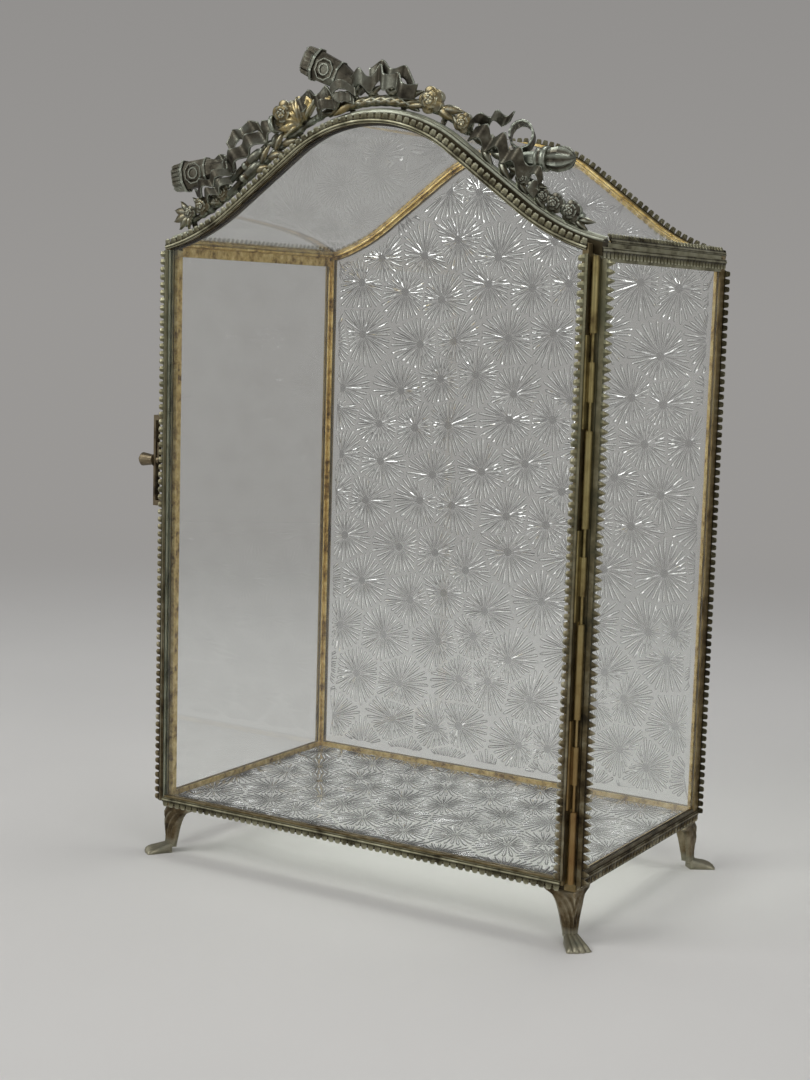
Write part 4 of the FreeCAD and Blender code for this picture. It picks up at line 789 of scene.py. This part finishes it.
lay_strip("edging_post_right", post_line(HALF + POST_BAND, -CASE_BACK), RIGHT, FRONT, bead=post_bead)
lay_strip("edging_post_left", post_line(-HALF, LEFT_POST_LINE, FLOOR + STRIP_BAND), BACK, LEFT)
lay_strip("edging_base_back", [(-HALF + LEG, CASE_BACK, FLOOR), (HALF - LEG, CASE_BACK, FLOOR)], DOWN, BACK)
lay_strip("edging_back_arch", rim_line(-RIM_HALF, RIM_HALF, 0.0, CASE_BACK), UP, BACK)
for word, side in (("right", 1), ("left", -1)):
    face = (side, 0, 0)
    lay_strip("edging_base_" + word, side_line(side * HALF, FLOOR), DOWN, face)
    lay_strip("edging_eave_" + word, side_line(side * HALF, SPRING - EAVE_SLOT), DOWN, face)
    lay_strip("edging_back_" + word, post_line(side * HALF, CASE_BACK), face, BACK)
    lay_strip("edging_roof_" + word, side_line(side * roof_x, roof_z, ROOF_START),
              (side * roof_up[0], 0, roof_up[2]), (side * roof_out[0], 0, roof_out[2]))

# Fluted strip on the front edge of the roof: pressed brass with long flutes that follow the arch and a
# scalloped rear edge lying on the glass. Pale green-grey where it is rubbed, which is also a painted
# highlight, with painted shade in the flutes and under the scallops' edge.
SCALLOP_PITCH, SCALLOP_GAP, SCALLOP_LAP, SCALLOP_POINTS = 8.8, 0.5, 0.3, 9
SCALLOP_RINGS = ((1.0, -0.45, 2.7, 0.75), (0.55, -1.15, 1.5, 0.62), (1.0, 0.0, 2.7, 0.1))
# Third value of each point is its mark: pale on the crowns (wear and painted highlight), near nought in the
# flutes as painted shade.
FLUTE_LINE = [(0.0, 0.0, 0.1), (0.0, 0.9, 0.5), (0.3, 1.5, 0.75), (0.9, 1.7, 0.75), (1.4, 1.4, 0.4),
              (1.7, 1.0, 0.02), (2.1, 1.0, 0.02), (2.3, 2.1, 0.4), (2.9, 2.9, 0.8), (3.7, 3.2, 0.85),
              (4.5, 2.9, 0.8), (5.0, 2.1, 0.4), (5.3, 1.4, 0.03), (5.7, 1.3, 0.1), (6.1, 1.6, 0.7),
              (6.6, 1.5, 0.7), (FLUTE_BAND, 1.1, 0.4), (FLUTE_BAND, 0.0, 0.1)]


def scallop_shape():
    """Low dome with a round rear edge; Z runs back over the roof, minus Y stands off it."""
    half, root = (SCALLOP_PITCH - SCALLOP_GAP) / 2.0, FLUTE_BAND - SCALLOP_LAP
    points, wear, faces = [], [], []
    # Each ring's last value is its mark: pale on the dome (wear and painted highlight), dark where the edge
    # lies on the glass (painted shade).
    for inset, lift, reach, painted_light in SCALLOP_RINGS:
        for k in range(SCALLOP_POINTS):
            angle = math.pi * k / (SCALLOP_POINTS - 1)
            points.append((inset * half * math.cos(angle), lift, root + reach * math.sin(angle)))
            wear.append(painted_light)
    top, under, end = SCALLOP_POINTS, 2 * SCALLOP_POINTS, 3 * SCALLOP_POINTS
    for k in range(SCALLOP_POINTS - 1):
        faces += [(k, k + 1, top + k + 1, top + k), (under + k, under + k + 1, k + 1, k)]
    faces += [tuple(range(top, under)), tuple(range(under, end))]
    faces.append((0, top, under - 1, top - 1, end - 1, under))
    return stand("scallop", mesh_from("scallop", points, faces, wear=wear))


scallop = scallop_shape()
flute_bead = profile_shape("flute_line", FLUTE_LINE)
flute_brass = aged_metal("flute_brass", (0.10, 0.09, 0.06), (0.42, 0.43, 0.33), (0.70, 0.74, 0.62),
                         patch=60.0)
flute_path = rim_line(-RIM_HALF, RIM_HALF, 0.0, -CASE_BACK)
flute_mesh = grow_strip("fluted_arch_strip", flute_path, DOWN, BACK, scallop, flute_bead, SCALLOP_PITCH,
                        flute_brass)
add_piece("fluted_roof_strip", flute_mesh, flute_brass, "case", "edging_brass", "fluted_arch_strip")

# Door: folded brass stiles, bottom rail and arch rail round a clear pane, with toothed strip soldered
# on their face: teeth outward at the latch side, bottom and arch, inward beside the hinge.
DOOR_LEFT, DOOR_RIGHT, DOOR_FACE, DOOR_INSET, DOOR_LEG = -136.5, 132.1, -87.6, 2.0, 3.4
HINGE_BAND, ARCH_DROP = 1.4, 1.0
# Third value of each point is its mark: high on the bead's crown for wear and painted highlight, low at its
# edges.
HINGE_LINE = [(0.0, -0.3, 0.1), (0.6, -0.3, 0.2), (0.9, 0.2, 0.6), (0.9, HINGE_BAND - 0.4, 0.6),
              (0.6, HINGE_BAND, 0.3), (0.0, HINGE_BAND, 0.1)]
door_brass = frame_metal("door_brass", (0.07, 0.05, 0.024), (0.24, 0.19, 0.10), (0.46, 0.42, 0.28),
                         (0.10, 0.06, 0.02), (0.30, 0.21, 0.08), (0.50, 0.40, 0.20))
dress(door_brass, "door_stile_right", "door_bottom_rail", "door_arch_rail")
stile_brass = aged_metal("stile_brass", (0.13, 0.135, 0.10), (0.36, 0.38, 0.29), (0.58, 0.62, 0.50),
                         worn=False)
dress(stile_brass, "door_stile_left")
door_glass = pane_glass("door_glass", (0.98, 0.985, 0.98), (0.0, 0.03), 7.0, ripple=0.05,
                        streak=(1.0, 1.0, 0.4))
dress(door_glass, "door_glass")
DOOR_SIDE_TOP = SPRING - DOOR_INSET - DOOR_LEG - STRIP_GAP
ARCH_END = RIM_HALF - (HALF - DOOR_RIGHT) / math.cos(EAVE)
hinge_x = DOOR_RIGHT - HINGE_BAND
hinge_bead = profile_shape("hinge_bead", HINGE_LINE)


def door_line(*corners):
    return [(x, DOOR_FACE, z) for x, z in corners]


lay_strip("door_edging_left", door_line((DOOR_LEFT, FLOOR), (DOOR_LEFT, DOOR_SIDE_TOP)), LEFT, FRONT, "door")
lay_strip("door_edging_bottom", door_line((DOOR_LEFT + STRIP_BAND, FLOOR), (hinge_x, FLOOR)), DOWN, FRONT,
          "door")
lay_strip("door_edging_hinge", door_line((hinge_x, FLOOR + STRIP_BAND), (hinge_x, DOOR_SIDE_TOP)), LEFT,
          FRONT, "door", hinge_bead)
lay_strip("door_edging_arch", rim_line(-RIM_HALF, ARCH_END, -DOOR_INSET - ARCH_DROP, DOOR_FACE), UP, FRONT,
          "door")
for shape in (edging_tooth, long_tooth, wedge_tooth, edging_bead, post_bead, hinge_bead, scallop, flute_bead):
    bpy.data.objects.remove(shape)

# Hinge: brass tube down the front right corner, cut into knuckles on one long pin. Gold where hands
# rub it, rust-brown lower down.
RUST_FALL, RUST = (0.05, 0.20), (0.27, 0.135, 0.05)
hinge_brass = aged_metal("hinge_brass", (0.08, 0.05, 0.02), (0.33, 0.27, 0.115), (0.62, 0.56, 0.30),
                         patch=45.0, worn=False)
tint_by_height(hinge_brass, *RUST_FALL, 0.65, 0.0, RUST)
dress(hinge_brass, "hinge_tubes", "hinge_leaves", "hinge_pin")

# Latch: a bridge plate on the door's free edge with a turned knob; its spindle carries a hook that
# drops behind a stud on the post.
latch_brass = aged_metal("latch_brass", (0.05, 0.037, 0.022), (0.20, 0.16, 0.10), (0.42, 0.37, 0.25),
                         patch=80.0, worn=False)
dress(latch_brass, "latch_plate", "latch_hook", "latch_keeper", "latch_knob")

# Crest: three bronze castings on studs along the front arch, with quivers, a torch, folded ribbon, roses
# and laurel, cast in one with their stem. Gunmetal brown, pale on rubbed edges, which is also a painted
# highlight, with painted shade in the hollows; some leaves still gilt.
CREST_Y, STEM_RISE, STEM_PITCH, STEM_HALF, STRIP_RISE = -77.4, 9.0, 2.5, 2.1, 1.5
FOLD_DEPTH, RIBBON_STEPS = 1.35, 7
GILT, GILT_SCALE, GILT_LEFT = (0.56, 0.43, 0.18, 1.0), 240.0, (0.38, 0.58)
BOX_FACE, RING_LIFT, HEAD_DEPTH, CHAMFER_TOP, CHAMFER_FALL = 4.3, 0.75, 4.4, 6.5, 0.583


def rim_spot(length, rise, proud=0.0):
    x, z, _ = rim_point(length, rise)
    return Vector((x, CREST_Y - proud, z))


def rim_slope(length):
    return math.degrees(rim_point(length, 0.0)[2])


def rim_up(length):
    slope = rim_point(length, 0.0)[2]
    return Vector((-math.sin(slope), 0.0, math.cos(slope)))


def new_casting():
    return {"points": [], "faces": [], "gilt": [], "smooth": []}


def graft(cast, shell, gilt=0.0, smooth=True):
    """Add a closed shell that is already in its place to a casting."""
    points, faces = shell
    start = len(cast["points"])
    cast["points"] += points
    cast["faces"] += [tuple(start + k for k in face) for face in faces]
    cast["gilt"] += [gilt] * len(points)
    cast["smooth"] += [smooth] * len(faces)


def plant(cast, shell, place, heading, gilt=0.0, smooth=True):
    """Add a shell drawn along, across and proud of the crest's plane, turned to a heading at a place."""
    turn = math.radians(heading)
    placed = []
    for along, across, proud in shell[0]:
        x = along * math.cos(turn) - across * math.sin(turn)
        z = along * math.sin(turn) + across * math.cos(turn)
        placed.append(place + Vector((x, -proud, z)))
    graft(cast, (placed, shell[1]), gilt, smooth)


def loft(rows, sides=8, ribs=0.0):
    """Turned or many-sided form along an axis, from rows of a place, a half height and a half depth."""
    grow = 1.0 / math.cos(math.pi / sides)
    rings = []
    for along, tall, deep in rows:
        ring = []
        for k in range(sides):
            angle = 2.0 * math.pi * (k + 0.5) / sides
            size = grow * (1.0 + ribs * (-1) ** k)
            ring.append((along, tall * size * math.sin(angle), deep * size * math.cos(angle)))
        rings.append(ring)
    return skin_rings(rings)


def boxed(rows, sides=8):
    """Loft whose flat faces carry points just inside every edge, so that only the edges read as worn and
    carry the painted highlight.
    """
    inset = 0.6
    close = []
    for first, last in zip(rows, rows[1:]):
        close.append(first)
        span = last[0] - first[0]
        if span > 3.0 * inset:
            for share in (inset / span, 1.0 - inset / span):
                close.append(tuple(a + (b - a) * share for a, b in zip(first, last)))
    rings = []
    for ring in (loft([row], sides)[0] for row in close + rows[-1:]):
        fine = []
        for here, beside in zip(ring, ring[1:] + ring[:1]):
            fine += [tuple(a + (b - a) * share for a, b in zip(here, beside)) for share in (0.0, 0.14, 0.86)]
        rings.append(fine)
    return skin_rings(rings)


def turned(*rows, sides=12, ribs=0.0):
    return loft([(along, radius, radius) for along, radius in rows], sides, ribs)


def frame_ring(along, size, wide, sides):
    """Raised flat ring on the front face of a quiver's box."""
    grow = 1.0 / math.cos(math.pi / sides)
    turns = [2.0 * math.pi * (k + 0.5) / sides for k in range(sides)]
    rings = []
    for span, proud in ((size, BOX_FACE), (size, BOX_FACE + RING_LIFT), (size - wide, BOX_FACE + RING_LIFT),
                        (size - wide, BOX_FACE)):
        rings.append([(along + span * grow * math.cos(t), span * grow * math.sin(t), proud) for t in turns])
    points, faces = skin_rings(rings + rings[:1])
    return points, faces[:-2]


def petalled(radius, depth, petals=5):
    """Rose seen from the front: three rings of petals that rise to their lips, round a bud."""
    shares = (0.1, 0.2, 0.33, 0.36, 0.5, 0.64, 0.68, 0.82, 0.95, 1.0)
    columns = 6 * petals
    rings = []
    for share in shares:
        layer = min(2, int(share * 2.999))
        lip = share * 3.0 - layer
        ring = []
        for k in range(columns):
            angle = 2.0 * math.pi * k / columns
            lobe = abs(math.cos(petals * angle / 2.0 + layer * math.pi / 2.0)) ** 0.6
            reach = radius * share * (0.8 + 0.2 * lobe)
            proud = depth * (1.0 - 0.72 * share * share) + 0.16 * radius * (lip - 0.4) * lobe
            ring.append((reach * math.cos(angle), reach * math.sin(angle), proud))
        rings.append(ring)
    rings.append([(0.9 * a, 0.9 * b, -0.6 * depth) for a, b, _ in rings[-1]])
    return skin_rings(rings)


def blade(length, width, arch=1.6, sides=5):
    """Pointed leaf with a raised midrib and turned-down edges."""
    rings = []
    for row in range(9):
        share = row / 8.0
        half = 0.12 + 0.5 * width * math.sin(math.pi * min(1.0, 0.06 + 0.94 * share ** 0.85)) ** 0.9
        swell = arch * math.sin(math.pi * share)
        front = []
        for k in range(sides):
            c = 2.0 * k / (sides - 1) - 1.0
            front.append((length * share, half * c, swell + 0.6 - 0.7 * abs(c) + (0.35 if c == 0.0 else 0.0)))
        back = [(length * share, half * c, swell - 0.9) for c in (0.8, -0.8)]
        rings.append(front + back)
    return skin_rings(rings)


def fan(radius, depth, ribs=7):
    """Scallop shell that opens from its root, ribbed and domed."""
    rings = []
    for row in range(7):
        share = 0.12 + 0.88 * row / 6.0
        front = []
        for k in range(4 * ribs + 1):
            angle = math.radians(-78.0 + 156.0 * k / (4 * ribs))
            rib = 0.5 + 0.5 * math.cos(math.pi * k / 2.0)
            reach = radius * share * (0.92 + 0.08 * rib)
            proud = depth * math.sin(math.pi * min(0.8, share)) + 0.11 * radius * share * rib
            front.append((reach * math.cos(angle), reach * math.sin(angle), proud))
        rings.append(front + [(a, b, -1.2) for a, b, _ in front[::-4]])
    return skin_rings(rings)


def band(cast, path, width, tilt=0.0):
    """Ribbon on a smooth line through places on the rim; tilt turns its width from upright to depth."""
    spots = [rim_spot(length, rise, FOLD_DEPTH * proud) for length, rise, proud in path]
    spots = [2.0 * spots[0] - spots[1]] + spots + [2.0 * spots[-1] - spots[-2]]
    lean = math.radians(tilt)
    rings = []
    for index in range(RIBBON_STEPS * (len(path) - 1) + 1):
        leg = min(index // RIBBON_STEPS, len(path) - 2)
        share = index / RIBBON_STEPS - leg
        before, first, last, after = spots[leg:leg + 4]
        speed = (last - before) / 2.0
        bend = before - 2.5 * first + 2.0 * last - after / 2.0
        twist = (after - before) / 2.0 + 1.5 * (first - last)
        middle = first + speed * share + bend * share ** 2 + twist * share ** 3
        run = speed + 2.0 * bend * share + 3.0 * twist * share ** 2
        up = rim_up(path[leg][0] + (path[leg + 1][0] - path[leg][0]) * share)
        wide = up * math.cos(lean) + Vector((0.0, -1.0, 0.0)) * math.sin(lean)
        flat = run.cross(wide).normalized()
        half = 0.5 * width * (1.0 - 0.12 * math.sin(math.pi * share))
        rings.append([middle + wide * (half * across) + flat * (0.55 * face)
                      for face, across in ((1, 1.0), (1, 0.82), (1, 0.0), (1, -0.82), (1, -1.0), (-1, -1.0),
                                           (-1, -0.82), (-1, 0.0), (-1, 0.82), (-1, 1.0))])
    graft(cast, skin_rings(rings))


def stem(cast, start, end, studs):
    """Knotted stem along the rim, on studs that stand on the fluted strip."""
    rings = []
    count = int((end - start) / STEM_PITCH)
    for index in range(count + 1):
        length = start + (end - start) * index / count
        size = STEM_HALF * (1.0 + 0.16 * math.sin(2.3 * index) + 0.1 * math.sin(0.9 * index))
        up = rim_up(length)
        turns = [math.pi * k / 4.0 + 0.3 * index for k in range(8)]
        rings.append([rim_spot(length, STEM_RISE - 1.0) + up * (size * math.sin(t))
                      + Vector((0.0, size * math.cos(t), 0.0)) for t in turns])
    graft(cast, skin_rings(rings))
    for length in studs:
        shank = turned((0.0, 2.2), (1.4, 1.5), (STEM_RISE - STRIP_RISE, 1.7))
        plant(cast, shank, rim_spot(length, STRIP_RISE), rim_slope(length) + 90.0)


def rose(cast, length, rise, radius, gilt=0.0, proud=1.5):
    heading = rim_slope(length) + 20.0 * length
    plant(cast, petalled(radius, 0.62 * radius), rim_spot(length, rise, proud), heading, gilt)


def leaf(cast, length, rise, lean, size, gilt=0.0, proud=1.0, slim=0.36):
    """Leaf that leans from the rim's own slope by an angle."""
    plant(cast, blade(size, slim * size), rim_spot(length, rise, proud), rim_slope(length) + lean, gilt)


def leaf_row(cast, count, start, pitch, rise, heading, swing, size, gilt, proud):
    """Row of leaves that lean to either side of a heading in turn."""
    for k in range(count):
        leaf(cast, start + pitch * k, rise, heading + swing * (-1) ** k, size, gilt, proud)


def moved(shell, across, lift=0.0):
    return [(a, b + across, c + lift) for a, b, c in shell[0]], shell[1]


def quiver(cast, place, heading):
    """Quiver along its axis: collar, tapering tail, panelled box and a slotted head with arrow ends."""
    case_rows = [(0.0, 4.2, 4.2), (0.5, 4.8, 4.8), (1.6, 4.2, 4.2), (2.7, 4.8, 4.8), (4.0, 4.2, 4.2),
                 (4.0, 3.4, 3.4), (16.0, 7.0, 4.4), (16.0, 7.6, 4.9), (17.2, 7.6, 4.9), (17.2, 7.1, 4.4),
                 (32.0, 7.8, 4.6), (32.0, 8.9, 5.5), (33.6, 8.9, 5.5), (33.6, 7.9, 4.6), (40.2, 7.6, 4.4),
                 (41.0, 6.8, 3.8)]
    for shell in (boxed(case_rows), frame_ring(24.6, 5.6, 0.8, 8), frame_ring(24.6, 3.2, 0.7, 12)):
        plant(cast, shell, place, heading, smooth=False)
    bar = boxed([(34.0, 0.75, 0.5), (34.5, 0.75, 0.9), (39.6, 0.7, 0.9), (40.2, 0.6, 0.4)], 4)
    tip = turned((40.2, 0.9), (42.2, 0.9), (43.2, 0.2), sides=6)
    for k in range(6):
        across = -6.0 + 2.4 * k
        seat = min(HEAD_DEPTH, CHAMFER_TOP - CHAMFER_FALL * abs(across))
        for lift in (seat, -seat):
            plant(cast, moved(bar, across, lift), place, heading, smooth=False)
        plant(cast, moved(tip, 0.92 * across), place, heading)


def torch(cast, place, heading):
    """Torch: fluted handle, ringed collar and a ribbed flame bud."""
    plant(cast, turned((0.0, 2.6), (19.0, 4.2), sides=16, ribs=0.06), place, heading, smooth=False)
    plant(cast, turned((18.4, 4.6), (19.2, 5.6), (20.4, 5.6), (21.0, 4.9), (22.0, 4.9), (22.6, 6.3),
                       (25.0, 6.3), (25.6, 5.2), sides=14), place, heading)
    plant(cast, turned((25.2, 4.4), (28.0, 5.6), (32.0, 6.2), (36.0, 5.4), (38.6, 3.6), (40.0, 1.2), sides=16,
                       ribs=0.1), place, heading, smooth=False)


def finish_casting(cast, name):
    mesh = mesh_from(name, cast["points"], cast["faces"], gilt=cast["gilt"])
    mesh.polygons.foreach_set("use_smooth", cast["smooth"])
    outward(mesh)
    add_piece(name + "_cast", mesh, crest_bronze, "case", "crest_metal", name)


# Its bright colour goes on proud edges, for rubbed wear and as a painted highlight; hollows get painted
# shade.
crest_bronze = aged_metal("crest_bronze", (0.026, 0.022, 0.016), (0.115, 0.105, 0.078), (0.45, 0.49, 0.41),
                          patch=75.0, roughness=(0.28, 0.5))
tree = crest_bronze.node_tree
gilding = put(tree, "ShaderNodeAttribute", attribute_name="gilt").outputs["Fac"]
left_over = remap(tree, noise(tree, object_place(tree), GILT_SCALE, 5.0), *GILT_LEFT, 0.25, 1.0)
tint(crest_bronze, math_node(tree, "MULTIPLY", gilding, left_over), GILT)

left = new_casting()
stem(left, -146.0, -38.3, (-139.0, -100.0, -50.0))
quiver(left, rim_spot(-97.0, 20.6), 190.0)
for lean, size in ((115.0, 10.0), (150.0, 12.0), (180.0, 13.0), (208.0, 12.0), (240.0, 9.0)):
    leaf(left, -137.5, 11.0, lean, size, gilt=0.2, proud=2.5, slim=0.42)
rose(left, -138.0, 11.5, 4.4, 0.1, 3.0)
for length, rise, radius in ((-127.5, 11.6, 5.6), (-117.5, 10.0, 3.8), (-110.0, 11.0, 5.0)):
    rose(left, length, rise, radius, 0.12, 2.0)
    leaf(left, length + 3.0, rise - 3.0, 150.0, 9.0, 0.2, 2.0)
    leaf(left, length - 1.0, rise + 1.0, 120.0, 8.0, 0.1, 1.0)
band(left, [(-98, 16, 3), (-105, 20, 6), (-111, 17.5, 5), (-117, 21, 6.5), (-123, 17, 4.5), (-127, 19.5, 3)],
     5.0)
band(left, [(-100, 12, 3), (-106, 14.5, 5.5), (-111, 12, 4), (-116, 15, 5.5), (-121, 12.5, 3.5)], 5.0)
band(left, [(-99, 27, -2), (-103, 31, -3.5), (-108, 29.5, -1), (-112, 33.5, -3.5)], 5.0)
band(left, [(-96, 20, 2), (-90, 21.5, 5), (-83, 19.5, 3), (-76, 21, 5.5), (-69, 18.5, 2.5), (-63, 20.5, 4.5),
            (-57, 16, 3)], 8.5)
band(left, [(-90, 26, 4.5), (-83.5, 31, 2.2), (-78, 27, 4.5), (-72, 28.5, 2), (-67, 23.5, 3.2)], 7.5)
stalk = turned((0.0, 1.3), (12.0, 1.7), (13.0, 2.5), (15.0, 2.5), (16.0, 1.9), (18.0, 2.5), (22.0, 2.8),
               (26.0, 2.2), (28.0, 0.7))
for length, rise, lean in ((-102.0, 12.0, 4.0), (-107.0, 7.5, 3.0)):
    plant(left, stalk, rim_spot(length, rise, 2.5), rim_slope(length) + lean, 0.06)
leaf_row(left, 9, -104.0, 5.0, 11.0, 90.0, 60.0, 10.0, 0.08, 0.5)
leaf_row(left, 6, -92.0, 6.0, 8.0, 0.0, 24.0, 13.0, 0.3, 1.5)
plant(left, turned((-1.6, 3.6), (-1.6, 5.0), (0.0, 5.3), (1.0, 4.6), (0.6, 3.2), (1.6, 2.4), (1.2, 0.6),
                   sides=16), rim_spot(-59.5, 19.5, 3.0), 196.0)
plant(left, fan(14.5, 4.5), rim_spot(-44.0, 8.5, 1.5), rim_slope(-46.0) + 104.0, 0.65)
rose(left, -51.0, 19.5, 7.6, 0.35, 3.0)
for lean in (70.0, 128.0, 160.0):
    leaf(left, -46.0, 9.0, lean, 15.0, 0.65, 4.0)
band(left, [(-45, 19, 1), (-40, 16.5, 5), (-36, 20, 1.5), (-31, 13.5, 5), (-27, 17.5, 2), (-23, 10.5, 4)],
     8.0)
finish_casting(left, "crest_left")

middle = new_casting()
stem(middle, -38.0, 24.7, (-16.0, 15.0))
quiver(middle, rim_spot(-9.0, 15.0), 156.0)
band(middle, [(-10, 12, 4), (-16, 17.5, 6.5), (-22, 16, 5.5), (-20, 11.5, 5), (-13, 10.5, 4)], 5.0)
band(middle, [(-12, 9, 3), (-18, 11.5, 5), (-23, 9, 3.5), (-29, 11, 5.5), (-34, 8, 3)], 6.0)
band(middle, [(-13, 17, 2), (-7, 20, 5), (-2.5, 15, 4), (1.5, 21.5, 2), (6, 16, 5.5), (11, 17.5, 2.5),
              (16, 12.5, 5.5), (22, 13.5, 2.5)], 9.0)
band(middle, [(-3, 20, 3.5), (1.5, 25, 0.5), (8, 20, 3.5), (13, 22.5, 0.8), (20, 15, 3)], 7.0)
for length, rise, lean in ((-16.0, 11.0, 168.0), (-22.0, 9.0, 150.0), (-13.0, 8.0, 200.0), (24.0, 9.0, 10.0)):
    leaf(middle, length, rise, lean, 15.0, 0.55, 2.5)
leaf_row(middle, 8, -22.0, 5.5, 9.5, 90.0, 62.0, 11.0, 0.12, 1.0)
for k in range(9):
    leaf(middle, -30.0 + 6.0 * k, 5.0, 14.0, 15.0, 0.3, 1.0 + 0.3 * k, 0.24)
    leaf(middle, 26.0 - 6.0 * k, 4.6, 166.0, 15.0, 0.1, 3.0 - 0.3 * k, 0.24)
finish_casting(middle, "crest_middle")

right = new_casting()
stem(right, 25.3, 138.0, (40.0, 89.0, 131.0))
torch(right, rim_spot(81.4, 9.0, 1.0), -1.0)
rose(right, 31.2, 12.0, 7.4, 0.45, 2.5)
for length, lean, gilt in ((34.0, -12.0, 0.6), (37.0, 16.0, 0.3), (30.0, 200.0, 0.2), (44.0, -20.0, 0.1)):
    leaf(right, length, 10.0, lean, 14.0, gilt, 2.0)
rose(right, 51.5, 10.2, 5.6, 0.3, 2.5)
band(right, [(55, 11, 3), (59, 18, 5.5), (63, 18.5, 2), (66, 24.5, 5), (70, 24, 1.5), (73.5, 29, 3.5)], 6.5,
     15.0)
band(right, [(60, 9, 4), (66, 14.5, 6), (71, 10, 3.5), (77, 17, 6), (83, 11, 4), (89, 16.5, 6), (95, 11, 4),
             (100, 14, 2.5)], 9.0)
ring_turns = [0.45 * k - 1.9 for k in range(14)]
ring_path = [(82.8 + 6.8 * math.cos(turn), 23.5 + 6.8 * math.sin(turn), 1.0) for turn in ring_turns]
band(right, ring_path, 7.0, 64.0)
band(right, [(100, 15, 4), (104, 17, 5.5), (107.5, 12, 4), (104, 8.5, 5), (109, 6, 3)], 5.5)
leaf_row(right, 9, 56.0, 5.0, 9.5, 90.0, 60.0, 10.0, 0.05, 0.5)
leaf_row(right, 9, 60.0, 6.5, 7.0, 0.0, 22.0, 13.0, 0.06, 1.5)
for length, rise, radius in ((97.0, 8.0, 4.4), (105.0, 7.0, 4.2), (112.5, 7.5, 4.0), (120.5, 8.0, 5.4),
                             (131.5, 8.6, 5.8)):
    rose(right, length, rise, radius, 0.0, 2.5)
for length, lean in ((124.0, 12.0), (128.0, -14.0), (134.0, -16.0), (136.0, 14.0)):
    leaf(right, length, 6.0, lean, 10.0, 0.05, 1.5)
finish_casting(right, "crest_right")
